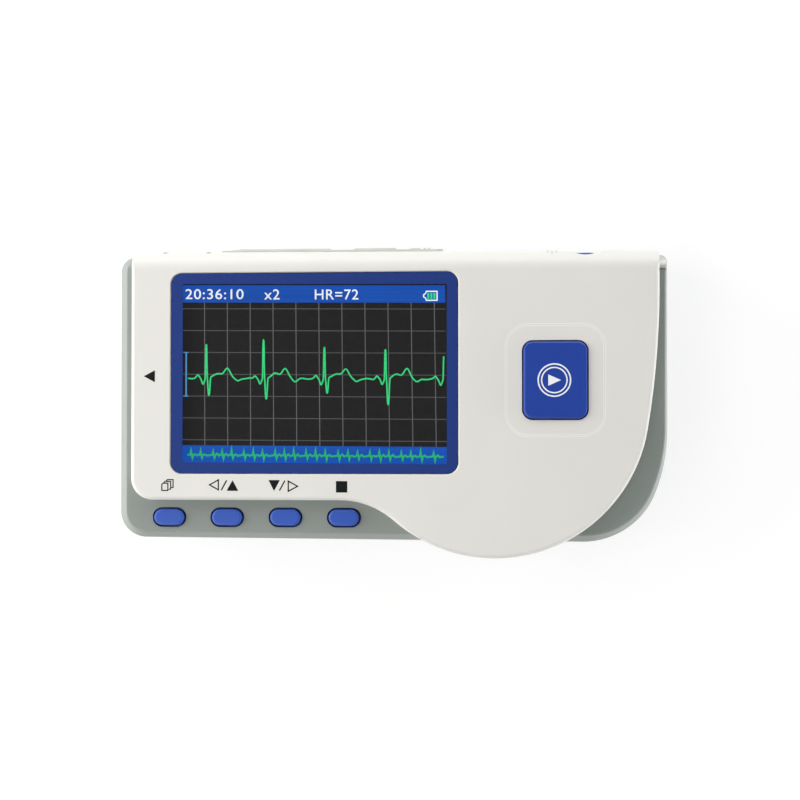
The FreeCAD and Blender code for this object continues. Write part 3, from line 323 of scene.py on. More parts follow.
def cell_sleeve():
    """Two plain cells: a shrink-film sleeve between bare nickel-plated ends."""
    bare_mm, band_share, roughness = 1.6, 0.32, 0.3
    silver, blue, plating = linear("c9ced2"), linear("2d5f8a"), linear("c6c4bd")
    material, tree = new_material("shrink_film_over_plated_steel")
    place = add(tree, "ShaderNodeTexCoord")
    axis = add(tree, "ShaderNodeSeparateXYZ", links={"Vector": (place, "Object")})
    low, high = (c.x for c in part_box("battery_cells"))

    def side(value, operation, letter="X"):
        """1 on one side of a plane across the cells and 0 on the other."""
        return add(tree, "ShaderNodeMath", {1: value}, {0: (axis, letter)}, operation=operation)

    past_low = side(low + bare_mm * MM, "GREATER_THAN")
    past_high = side(high - bare_mm * MM, "LESS_THAN")
    sleeve = add(tree, "ShaderNodeMath", links={0: (past_low, "Value"), 1: (past_high, "Value")},
                 operation="MULTIPLY")
    # the cells lie head to tail, so the second one's band is turned round
    middle = sum(c.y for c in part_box("battery_cells")) / 2
    second = side(middle, "GREATER_THAN", "Y")
    reach = band_share * (high - low)
    first_band = side(high - reach, "LESS_THAN")
    second_band = side(low + reach, "GREATER_THAN")
    band = add(tree, "ShaderNodeMix",
               links={0: (second, "Value"), 2: (first_band, "Value"), 3: (second_band, "Value")})
    film = add(tree, "ShaderNodeMix", {6: silver, 7: blue}, {0: (band, "Result")},
               data_type="RGBA")
    base = add(tree, "ShaderNodeMix", {6: plating}, {0: (sleeve, "Value"), 7: (film, 2)},
               data_type="RGBA")
    bare = add(tree, "ShaderNodeMath", {0: 1.0}, {1: (sleeve, "Value")}, operation="SUBTRACT")
    shader = add(tree, "ShaderNodeBsdfPrincipled", {"Roughness": roughness},
                 {"Base Color": (base, 2), "Metallic": (bare, "Value")})
    return surfaced(material, shader)


def mirror_rays(tree):
    """The light path's node, and one that is 1 for what polished and clear pieces show."""
    path = add(tree, "ShaderNodeLightPath")
    return path, add(tree, "ShaderNodeMath",
                     links={0: (path, "Is Glossy Ray"), 1: (path, "Is Transmission Ray")},
                     operation="MAXIMUM")


def dress(nodes, material):
    """Gives CAD nodes a finish in place of the plain one that they carry."""
    for name in nodes:
        slots = NODES[name].data.materials
        for i in range(len(slots)):
            slots[i] = material


def even_shading():
    """Keeps large faces flat to the light, so that only the rounds between them turn it."""
    for node in NODES.values():
        even = node.modifiers.new("even_shading", "WEIGHTED_NORMAL")
        even.mode, even.keep_sharp = "FACE_AREA", True


# ======================== flat pieces
SIDES = ((0, 1), (1, 2), (2, 3), (3, 0))       # the four long sides of a drawn line or band
SHARPEST_LINE, SHARPEST_CORNER = 0.45, 0.2     # least cosine that a mitre is worked out for


def put(name, data):
    """A new object in the scene."""
    thing = bpy.data.objects.new(name, data)
    bpy.context.scene.collection.objects.link(thing)
    return thing


def finish_piece(name, bm, material, body):
    """A drawn piece with its material, on the body that it moves with."""
    bmesh.ops.recalc_face_normals(bm, faces=bm.faces)
    mesh = bpy.data.meshes.new(name)
    bm.to_mesh(mesh)
    bm.free()
    mesh.materials.append(material)
    piece = put(name, mesh)
    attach(piece, body)


def raise_outline(bm, points, low, high):
    """A closed outline of (x, y) points, in millimetres, made into a thin solid."""
    rings = [[bm.verts.new(Vector((x, y, z)) * MM) for x, y in points] for z in (low, high)]
    bm.faces.new(rings[0])
    bm.faces.new(rings[1])
    for i in range(len(points)):
        j = (i + 1) % len(points)
        bm.faces.new((rings[0][i], rings[0][j], rings[1][j], rings[1][i]))


def raise_band(bm, outer, inner, low, high):
    """A ring between two outlines that have the same number of points."""
    verts = [[bm.verts.new(Vector((x, y, z)) * MM) for x, y in points]
             for points, z in ((outer, low), (outer, high), (inner, high), (inner, low))]
    for i in range(len(outer)):
        j = (i + 1) % len(outer)
        for a, b in SIDES:
            bm.faces.new((verts[a][i], verts[a][j], verts[b][j], verts[b][i]))


def raise_line(bm, points, width, low, high):
    """An open line of (x, y) points drawn with a width, mitred where it turns."""
    left, right = [], []
    for i, (x, y) in enumerate(points):
        here = Vector((x, y))
        back = (here - Vector(points[i - 1])).normalized() if i else None
        ahead = (Vector(points[i + 1]) - here).normalized() if i < len(points) - 1 else None
        run = ((back or ahead) + (ahead or back)).normalized()
        side = Vector((-run.y, run.x))
        edge = back or ahead
        reach = width / 2 / max(side.dot(Vector((-edge.y, edge.x))), SHARPEST_LINE)
        left.append(here + side * reach)
        right.append(here - side * reach)
    rings = [[bm.verts.new(Vector((p.x, p.y, z)) * MM) for p in side]
             for side, z in ((left, low), (left, high), (right, high), (right, low))]
    for i in range(len(points) - 1):
        for a, b in SIDES:
            bm.faces.new((rings[a][i], rings[a][i + 1], rings[b][i + 1], rings[b][i]))
    for i in (0, -1):
        bm.faces.new([ring[i] for ring in rings])


def on_roll(x, rise, out):
    """A place on the cover's roll beside the power key: along it, up it and out of it."""
    turn = ROLL_START + rise / ROLL_R
    return Vector((ROLL_SIGN_X + x, ROLL_Y + (ROLL_R + out) * math.cos(turn),
                   ROLL_Z + (ROLL_R + out) * math.sin(turn))) * MM


def raise_on_roll(bm, points, width):
    """An open line of (along, up) points drawn with a width on the roll."""
    rings = []
    for i, here in enumerate(points):
        back, ahead = points[max(i - 1, 0)], points[min(i + 1, len(points) - 1)]
        run = (Vector(ahead) - Vector(back)).normalized()
        side = Vector((-run.y, run.x)) * width / 2
        corners = [(Vector(here) + side, -INK), (Vector(here) + side, INK),
                   (Vector(here) - side, INK), (Vector(here) - side, -INK)]
        rings.append([bm.verts.new(on_roll(place.x, place.y, out)) for place, out in corners])
    for one, other in zip(rings, rings[1:]):
        for a, b in SIDES:
            bm.faces.new((one[a], other[a], other[b], one[b]))
    bm.faces.new(rings[0])
    bm.faces.new(rings[-1])


def ring_points(centre, radius):
    """A circle as a list of points."""
    count = 96
    return [(centre[0] + radius * math.cos(2 * math.pi * i / count),
             centre[1] + radius * math.sin(2 * math.pi * i / count)) for i in range(count)]


def rect(x0, y0, x1, y1):
    """A rectangle as a list of points."""
    return [(x0, y0), (x1, y0), (x1, y1), (x0, y1)]


def rounded(x, y, radius):
    """A rectangle between two (low, high) pairs with round corners, as a list of points."""
    steps, quarter = 12, math.pi / 2
    middle = [(x[1] - radius, y[1] - radius), (x[0] + radius, y[1] - radius),
              (x[0] + radius, y[0] + radius), (x[1] - radius, y[0] + radius)]
    turns = [quarter * i / steps for i in range(steps + 1)]
    return [(cx + radius * math.cos(t + quarter * k), cy + radius * math.sin(t + quarter * k))
            for k, (cx, cy) in enumerate(middle) for t in turns]


def groove_edge(size, radius, grown=0.0):
    """One edge of the groove round the measuring key, grown outwards by a distance."""
    x, y = [(middle - length / 2 - grown, middle + length / 2 + grown)
            for middle, length in zip(GROOVE_MIDDLE, size)]
    return rounded(x, y, radius + grown)


def drawn_in(points, distance):
    """A convex outline moved inward by a distance, corner by corner."""
    area = sum(x0 * y1 - x1 * y0 for (x0, y0), (x1, y1) in zip(points, points[1:] + points[:1]))
    turn = 1 if area > 0 else -1
    result = []
    for i, point in enumerate(points):
        here = Vector(point)
        back = (here - Vector(points[i - 1])).normalized()
        ahead = (Vector(points[(i + 1) % len(points)]) - here).normalized()
        inward = (Vector((-back.y, back.x)) + Vector((-ahead.y, ahead.x))).normalized() * turn
        reach = distance / max(inward.dot(Vector((-back.y, back.x)) * turn), SHARPEST_CORNER)
        result.append(tuple(here + inward * reach))
    return result


def print_sign(name, ink, shapes):
    """A sign on the cover's face. Filled shapes have no width, hollow ones and lines have one."""
    low, high = COVER_FACE - INK / 2, COVER_FACE + INK
    bm = bmesh.new()
    for kind, points, width in shapes:
        if kind == "line":
            raise_line(bm, points, width, low, high)
        elif kind == "hollow":
            raise_band(bm, points, drawn_in(points, width), low, high)
        else:
            raise_outline(bm, points, low, high)
    finish_piece(name, bm, ink, CASE)


# ======================== sizes and colours
class RecorderColours(bpy.types.PropertyGroup):
    """Colours of the finishes that show."""
    cover: FloatVectorProperty(name="Cover", description="White front cover", subtype="COLOR",
                               size=4, min=0, max=1, default=linear("e7e5df"))
    body: FloatVectorProperty(name="Body", description="Grey frame, back and battery door",
                              subtype="COLOR", size=4, min=0, max=1, default=linear("8e958f"))
    small_keys: FloatVectorProperty(name="Small keys", description="Oval keys and power key",
                                    subtype="COLOR", size=4, min=0, max=1,
                                    default=linear("355ab8"))
    measure_key: FloatVectorProperty(name="Measuring key", description="Large measuring key",
                                     subtype="COLOR", size=4, min=0, max=1,
                                     default=linear("1f42a0"))
    border: FloatVectorProperty(name="Window border", description="Print behind the window",
                                subtype="COLOR", size=4, min=0, max=1, default=linear("223a7e"))
    trace: FloatVectorProperty(name="Trace", description="Heart trace on the display",
                               subtype="COLOR", size=4, min=0, max=1, default=linear("37e385"))


class RecorderPicture(bpy.types.PropertyGroup):
    """Layout of the picture on the display."""
    trace_width: FloatProperty(name="Trace width", description="Width of the heart trace",
                               default=0.33 * MM, min=0.1 * MM, max=1 * MM, subtype="DISTANCE",
                               unit="LENGTH")
    grid_pitch: FloatProperty(name="Grid pitch", description="Distance between grid columns",
                              default=5.306 * MM, min=1 * MM, max=10 * MM, subtype="DISTANCE",
                              unit="LENGTH")
    clock: StringProperty(name="Clock", description="Clock reading", default="20:36:10")
    gain: StringProperty(name="Gain", description="Gain reading", default="x2")
    rate: StringProperty(name="Rate", description="Heart rate reading", default="HR=72")
    strip_seed: IntProperty(name="Strip seed", description="Seed of the overview strip's beats",
                            default=7, min=0)


def colours():
    """The colours as the user has set them."""
    return bpy.context.scene.recorder_colours


def picture():
    """The picture's layout as the user has set it."""
    return bpy.context.scene.recorder_picture


# ======================== display picture
def right_edge(y):
    """Right end of the picture at that height."""
    return PICTURE_X[1] + LEAN * (PICTURE_Y[1] - y) / (PICTURE_Y[1] - PICTURE_Y[0])


def fallen(x, y):
    """A place on the picture, lower by what the rows have fallen there."""
    return x, y - FALL * (x - PICTURE_X[0])


def finish_picture(name, bm, material):
    """A part of the picture, set on the panel as that sits."""
    for v in bm.verts:
        v.co.y = fallen(v.co.x / MM, v.co.y / MM)[1] * MM
    finish_piece(name, bm, material, CASE)


def lit_shapes(name, material, outlines, low, high):
    """A part of the picture made of closed outlines."""
    bm = bmesh.new()
    for points in outlines:
        raise_outline(bm, points, low, high)
    finish_picture(name, bm, material)


def picture_area(y0, y1):
    """The picture's whole width between two heights."""
    return [(PICTURE_X[0], y0), (right_edge(y0), y0), (right_edge(y1), y1), (PICTURE_X[0], y1)]


def heart_trace():
    """The heart trace: each beat is a sharp peak, a trough and five slow waves."""
    def bump(x, centre, width, steepness=2):
        return math.exp(-abs((x - centre) / width) ** steepness)

    points, x = [], PICTURE_X[0] + TRACE_START
    while x < PICTURE_X[1] - TRACE_REST:
        y = BASELINE + RIPPLE * math.sin(x * RIPPLE_RATE)
        for place, peak, trough in BEATS:
            y += peak * bump(x, place, SPIKE, 4) + trough * bump(x, place + DROP[0], DROP[1], 3)
            y += sum(height * bump(x, place + centre, width) for centre, width, height in WAVES)
        points.append((x, y))
        x += TRACE_STEP
    return points


def strip_trace(seed):
    """The overview strip: small beats at an uneven pace."""
    dice = random.Random(seed)
    points, x, beat = [(STRIP_ENDS[0], STRIP_LINE)], STRIP_BEATS[0], 0
    while x < STRIP_BEATS[1]:
        high, low = dice.uniform(1.25, 1.95), dice.uniform(0.85, 1.35)
        # one beat: distance along the strip and height above its line
        shape = [(-0.55, dice.uniform(-0.05, 0.1)), (-0.18, 0.1), (0.0, high), (0.14, 0.2),
                 (0.3, -low), (0.5, 0.0), (0.95, dice.uniform(0.15, 0.45)), (1.35, -0.08)]
        points += [(x + along, STRIP_LINE + rise) for along, rise in shape]
        x += STRIP_SPACING[beat % len(STRIP_SPACING)] + dice.uniform(-0.1, 0.12)
        beat += 1
    return points + [(STRIP_ENDS[1], STRIP_LINE + 0.1)]


def lettering(name, text, box, z, material):
    """Plain sans-serif characters fitted to a box (x0, y0, x1, y1), in millimetres."""
    spacing, boldness, weld = 1.08, 0.006, 1e-5
    curve = bpy.data.curves.new(name, "FONT")
    curve.body, curve.size, curve.resolution_u = text, 1.0, 6
    curve.space_character, curve.offset = spacing, boldness
    writing = put(name, curve)
    bpy.context.view_layer.update()
    mesh = bpy.data.meshes.new_from_object(writing.evaluated_get(
        bpy.context.evaluated_depsgraph_get()))
    bpy.data.objects.remove(writing)
    bm = bmesh.new()
    bm.from_mesh(mesh)
    bpy.data.meshes.remove(mesh)
    bmesh.ops.remove_doubles(bm, verts=bm.verts, dist=weld)
    xs, ys = [v.co.x for v in bm.verts], [v.co.y for v in bm.verts]
    left, low, wide, high = min(xs), min(ys), max(xs) - min(xs), max(ys) - min(ys)
    x0, y0, x1, y1 = box
    for v in bm.verts:
        v.co = Vector((x0 + (v.co.x - left) / wide * (x1 - x0),
                       y0 + (v.co.y - low) / high * (y1 - y0), z)) * MM
    grown = bmesh.ops.extrude_face_region(bm, geom=list(bm.faces))
    for v in grown["geom"]:
        if isinstance(v, bmesh.types.BMVert):
            v.co.z += LAYER * MM
    finish_picture(name, bm, material)


# ======================== operators
class Piece:
    """What the operators share."""
    bl_options = {"REGISTER", "UNDO"}


class RECORDER_OT_shells(Piece, bpy.types.Operator):
    """Finishes the white cover, the grey frame, the back and the battery door"""
    bl_idname = "recorder.shells"
    bl_label = "Shells"

    def execute(self, context):
        even_shading()
        # white ABS from a finely spark-eroded tool: soft satin, no visible pores
        cover = moulded("white_abs_fine_satin", colours().cover, roughness=0.40, grain_mm=0.35,
                        depth_mm=0.006, mottle=0.012)
        # grey ABS from a coarser tool: the grain sparkles a little
        body = moulded("grey_abs_sparked", colours().body, roughness=0.42, grain_mm=0.42,
                       depth_mm=0.02, mottle=0.03, coat=0.5)
        # the groove's two edges carry a painted highlight: a paler, glossier band of plastic
        # stands in for the light that their lips catch
        edge = moulded("white_abs_painted_highlight", linear("fbfbf8"), roughness=0.25, grain_mm=0.35,
                       depth_mm=0.001, mottle=0.005)
        bm = bmesh.new()
        for size, radius, outwards, inwards in GROOVE_EDGES:
            raise_band(bm, groove_edge(size, radius, outwards), groove_edge(size, radius, inwards),
                       COVER_FACE - LAYER, COVER_FACE + INK)
        finish_piece("groove_painted_highlights", bm, edge, CASE)
        # the groove is shallow: its floor lies just under the face
        bm = bmesh.new()
        raise_band(bm, *(groove_edge(size, radius) for size, radius, *_ in GROOVE_EDGES),
                   COVER_FACE - GROOVE_FLOOR, COVER_FACE - LAYER)
        finish_piece("groove_floor", bm, cover, CASE)
        dress(["front_cover"], cover)
        dress(["front_frame", "rear_cover", "battery_door"], body)
        return {"FINISHED"}


class RECORDER_OT_keys(Piece, bpy.types.Operator):
    """Finishes the keys and prints the measuring key's sign"""
    bl_idname = "recorder.keys"
    bl_label = "Keys"

    def execute(self, context):
        # blue ABS, semi-gloss: light from the studio lies on it as a soft sheen
        small = moulded("blue_abs_semigloss", colours().small_keys, roughness=0.34, grain_mm=0.3,
                        depth_mm=0.004, mottle=0.015)
        # deeper blue ABS with a fine sparked grain: an even satin
        large = moulded("deep_blue_abs_satin", colours().measure_key, roughness=0.36, grain_mm=0.4,
                        depth_mm=0.008, mottle=0.02)
        dress(["menu_key", "left_up_key", "right_down_key", "stop_key", "power_key"], small)
        dress(["measure_key"], large)
        # white two-part ink, pad printed and cured: crisp and slightly raised
        white_ink = printed("white_pad_print", linear("ffffff"), roughness=0.35)
        top = top_of("measure_key")
        low, high = top - INK / 2, top + INK
        x, y = KEY_SIGN_MIDDLE
        bm = bmesh.new()
        for outer, inner in KEY_SIGN_RINGS:
            raise_band(bm, ring_points((x, y), outer), ring_points((x, y), inner), low, high)
        raise_outline(bm, [(x + dx, y + dy) for dx, dy in KEY_SIGN_ARROW], low, high)
        finish_piece("measure_key_sign", bm, white_ink, "measure_key")
        return {"FINISHED"}


class RECORDER_OT_soft_parts(Piece, bpy.types.Operator):
    """Finishes the port cover, the key mats and the gasket"""
    bl_idname = "recorder.soft_parts"
    bl_label = "Soft parts"

    def execute(self, context):
        # thermoplastic elastomer, moulded: paler and duller than the cover beside it
        dress(["port_cover", "port_cover_root"],
              elastomer("white_elastomer_matt", linear("dcddd8")))
        # silicone, compression moulded: greyish and slightly cloudy
        dress(["key_strip_mat", "measure_key_mat"],
              elastomer("grey_silicone", linear("9fa3a3"), roughness=0.5))
        # closed-cell foam, die cut: black and dead matt
        dress(["display_gasket"], elastomer("black_cell_foam", linear("191919"), roughness=0.9))
        return {"FINISHED"}


class RECORDER_OT_window(Piece, bpy.types.Operator):
    """Finishes the display window, its printed border and the display's own parts"""
    bl_idname = "recorder.window"
    bl_label = "Window"

    def execute(self, context):
        # cast acrylic sheet, laser cut with a polished face
        dress(["display_window"], clear("cast_acrylic_sheet", linear("f7f9fb")))
        # screen print, baked dry: an even blue on the window's back, and a coat on its face
        print_coat = printed("blue_screen_print", colours().border, roughness=0.5, gloss=0.2)
        dress(["window_border"], print_coat)
        top = top_of("display_window")
        bm = bmesh.new()
        opening = [fallen(x, y) for x, y in rounded(*PRINT_IN)]
        raise_band(bm, rounded(*PRINT_OUT), opening, top - INK / 2, top + INK)
        finish_piece("window_face_print", bm, print_coat, CASE)
        # polariser film on glass: almost black, with a dull gloss
        dress(["lcd_panel"], moulded("black_polariser_film", linear("0f0f10"), roughness=0.35,
                                     grain_mm=0.3, depth_mm=0.002))
        # moulded acrylic and polycarbonate behind the panel
        dress(["lcd_light_guide"],
              clear("moulded_acrylic_guide", linear("eef3f5"), roughness=0.08))
        dress(["lcd_backlight"], moulded("white_polycarbonate", linear("e8e8e6"), roughness=0.45,
                                         grain_mm=0.6, depth_mm=0.01))
        # stamped steel sheet, nickel plated: greyish with rolling lines along its length
        dress(["lcd_bezel"], metal("nickel_plated_sheet", linear("b9b6ae"), roughness=0.3,
                                   stretch=(0.05, 1, 1)))
        return {"FINISHED"}


class RECORDER_OT_picture(Piece, bpy.types.Operator):
    """Lights the display: bands, grid, heart trace, overview strip and readings"""
    bl_idname = "recorder.picture"
    bl_label = "Display picture"

    def execute(self, context):
        layer = [PANEL_TOP + LAYER * k for k in range(4)]
        dark = lit("lit_ground", linear("292627"), 0.3)
        blue = lit("lit_blue_band", linear("084dad"), 1.0)
        strip = lit("lit_blue_strip", linear("084dad"), 1.06)
        white = lit("lit_white", linear("fafbff"), 1.0)
        green = lit("lit_green", colours().trace, 0.9)
        seam = 0.002                 # the bands lie just clear of what is under them
        for name, material, area, under in (
                ("picture_ground", dark, picture_area(*PICTURE_Y), 0),
                ("picture_header", blue, picture_area(HEADER_LOW, PICTURE_Y[1]), 1),
                ("picture_strip", strip, picture_area(PICTURE_Y[0], STRIP_HIGH), 1)):
            lit_shapes(name, material, [area], layer[under] + seam, layer[under + 1])
        self.grid(layer)
        self.traces(layer, green)
        self.readings(layer[2], white, green)
        return {"FINISHED"}

    def grid(self, layer):
        """Columns and rows; the rows lie a touch lower, so that none meets a column's face."""
        pitch = picture().grid_pitch / MM
        lower = 0.005
        columns, rows = [], []
        for k in range(COLUMNS):
            low, high = COLUMN_LOW + pitch * k, COLUMN_TOP + (pitch - NARROWING) * k
            columns.append([(low - COLUMN_HALF, STRIP_HIGH), (low + COLUMN_HALF, STRIP_HIGH),
                            (high + COLUMN_HALF, HEADER_LOW), (high - COLUMN_HALF, HEADER_LOW)])
        for k in range(ROWS):
            y = ROW_Y - ROW_PITCH * k
            rows.append(rect(PICTURE_X[0], y - ROW_HALF, right_edge(y), y + ROW_HALF))
        lit_shapes("picture_grid_columns", lit("lit_grey", linear("6a6868"), 0.85), columns,
                   layer[1], layer[2])
        lit_shapes("picture_grid_rows", lit("lit_dotted_grey", linear("5d5a59"), 0.85), rows,
                   layer[1], layer[2] - lower)

    def traces(self, layer, green):
        """The heart trace, the overview strip's trace and the gain mark."""
        bm = bmesh.new()
        raise_line(bm, heart_trace(), picture().trace_width / MM, layer[2], layer[3])
        finish_picture("picture_heart_trace", bm, green)
        bm = bmesh.new()
        raise_line(bm, strip_trace(picture().strip_seed), STRIP_WIDTH, layer[2], layer[3])
        finish_picture("picture_strip_trace", bm, lit("lit_strip_green", linear("23b46e"), 0.98))
        left, right, half = GAIN_END
        mark = [rect(GAIN_X - GAIN_STEM, GAIN_Y[0], GAIN_X + GAIN_STEM, GAIN_Y[1])]
        mark += [rect(GAIN_X + left, y - half, GAIN_X + right, y + half) for y in GAIN_Y]
        lit_shapes("picture_gain_mark", lit("lit_pale_blue", linear("519ad0"), 0.9), mark,
                   layer[2], layer[3])

    def readings(self, z, white, green):
        """The clock, the gain, the heart rate and the battery sign."""
        lettering("picture_clock", picture().clock, CLOCK_BOX, z, white)
        lettering("picture_gain", picture().gain, GAIN_BOX, z, white)
        lettering("picture_rate", picture().rate, RATE_BOX, z, white)
        bm = bmesh.new()
        raise_band(bm, BATTERY_OUTLINE, drawn_in(BATTERY_OUTLINE, BATTERY_LINE), z, z + LAYER)
        finish_picture("picture_battery_outline", bm, white)
        bars = [rect(x, BAR_Y[0], x + BAR_WIDTH, BAR_Y[1]) for x in BATTERY_BARS]
        lit_shapes("picture_battery_bars", green, bars, z, z + LAYER)


class RECORDER_OT_signs(Piece, bpy.types.Operator):
    """Prints the key signs on the cover: pages, arrows, stop square and electrode arrow"""
    bl_idname = "recorder.signs"
    bl_label = "Printed signs"

    def execute(self, context):
        # black two-part ink, pad printed
        ink = printed("black_pad_print", linear("0b1110"), roughness=0.5, gloss=0.2)

        def page(x, y):
            """The part of a page behind that shows, from its upper right corner."""
            return [(x - 1.62, y - 0.34), (x - 1.3, y), (x, y), (x, y - 1.78),
                    (x - 0.44, y - 1.78)]

        print_sign("sign_pages", ink, [
            ("hollow", [(-51.98, -20.2), (-50.33, -20.2), (-50.33, -18.3), (-51.6, -18.3),
                        (-51.98, -18.65)], 0.26),
            ("line", page(-49.82, -18.02), 0.25),
            ("line", page(-49.26, -17.62), 0.25)])
        print_sign("sign_left_up", ink, [
            ("hollow", [(-41.15, -18.79), (-38.7, -20.16), (-38.7, -17.42)], 0.28),
            ("line", [(-38.16, -20.0), (-36.95, -17.75)], 0.3),
            ("filled", [(-36.95, -20.13), (-34.29, -20.13), (-35.6, -17.7)], None)])
        print_sign("sign_right_down", ink, [
            ("filled", [(-27.36, -17.67), (-26.1, -20.15), (-24.76, -17.67)], None),
            ("line", [(-24.85, -20.05), (-23.62, -17.78)], 0.3),
            ("hollow", [(-22.99, -17.66), (-22.99, -20.44), (-20.45, -19.07)], 0.28)])
        print_sign("sign_stop", ink, [("filled", rect(-12.0, -20.45, -9.42, -17.88), None)])
        print_sign("sign_electrode", ink, [
            ("filled", [(-56.1, 5.92), (-53.52, 4.55), (-53.52, 7.3)], None)])

        # the same ink thinned to a pale grey, on the roll beside the power key
        pale = printed("pale_pad_print", linear("c2c5c6"), roughness=0.42)
        arc = 2 * math.pi - 2 * POWER_GAP
        turns = [math.pi / 2 + POWER_GAP + arc * i / POWER_STEPS for i in range(POWER_STEPS + 1)]
        bm = bmesh.new()
        raise_on_roll(bm, [(POWER_RADIUS * math.cos(t), POWER_RADIUS * math.sin(t))
                           for t in turns], 0.26)
        raise_on_roll(bm, [(0.0, POWER_BAR_FOOT + POWER_BAR_STEP * i) for i in range(11)], 0.3)
        finish_piece("sign_power", bm, pale, CASE)
        return {"FINISHED"}


class RECORDER_OT_metalwork(Piece, bpy.types.Operator):
    """Finishes the electrodes, the sockets, the screws and the battery contacts"""
    bl_idname = "recorder.metalwork"
    bl_label = "Metalwork"

    def execute(self, context):
        # stainless steel, brushed along its length and passivated
        steel = metal("satin_stainless", linear("bfbeba"), roughness=0.5, stretch=(1, 0.06, 1),
                      line_mm=0.2, depth_mm=0.003)
        # drawn and rolled steel, nickel plated: warmer and a little dull
        nickel = metal("plated_spring_steel", linear("bdb8ad"), roughness=0.28,
                       stretch=(0.2, 1, 1))
        # copper alloy, flash gold plated
        gold = metal("flash_gold", linear("d9b15c"), roughness=0.24, stretch=(1, 0.2, 1))
        # steel, blackened: dark with a faint shine on its edges
        black = metal("blackened_steel", linear("3a3a3c"), roughness=0.42)
        dress(["left_electrode", "index_electrode", "middle_electrode"], steel)
        dress(["lead_socket_shell", "usb_socket_shell", "shield_can", "crystal", "clock_cell",
               "dome_contacts", "board_screws", "battery_bridge", "battery_plus_contact",
               "battery_minus_contact"], nickel)
        dress(["lead_socket_contacts", "usb_socket_contacts", "electrode_springs"], gold)
        dress(["case_screws"], black)
        dress(["battery_cells"], cell_sleeve())
        return {"FINISHED"}


class RECORDER_OT_electronics(Piece, bpy.types.Operator):
    """Finishes the board and what is soldered to it"""
    bl_idname = "recorder.electronics"
    bl_label = "Electronics"

    def execute(self, context):
        dress(["main_board"], solder_mask())
        for nodes, name, colour, roughness, grain_mm, depth_mm, mottle in (
                # filled epoxy, transfer moulded: charcoal and matt
                (["processor", "memory_chip", "ecg_amplifier", "regulator", "buzzer",
                  "power_switch", "lead_socket_tongue", "usb_socket_tongue"],
                 "black_filled_epoxy", "242426", 0.55, 0.3, 0.01, 0.08),
                # fired ceramic with tinned ends, and sintered ferrite
                (["small_passives"], "fired_ceramic", "8f7a5a", 0.5, 0.4, 0.01, 0.1),
                (["inductor"], "sintered_ferrite", "3b3836", 0.7, 0.3, 0.02, 0.08),
                # glass-filled nylon, and polyimide film with copper under it
                (["flex_connector"], "ivory_nylon", "d9d0b4", 0.5, 0.4, 0.01, 0.025),
                (["lcd_flex"], "amber_polyimide_film", "b86a1e", 0.25, 1.2, 0.004, 0.08)):
            dress(nodes, moulded(name, linear(colour), roughness, grain_mm, depth_mm, mottle))
        return {"FINISHED"}


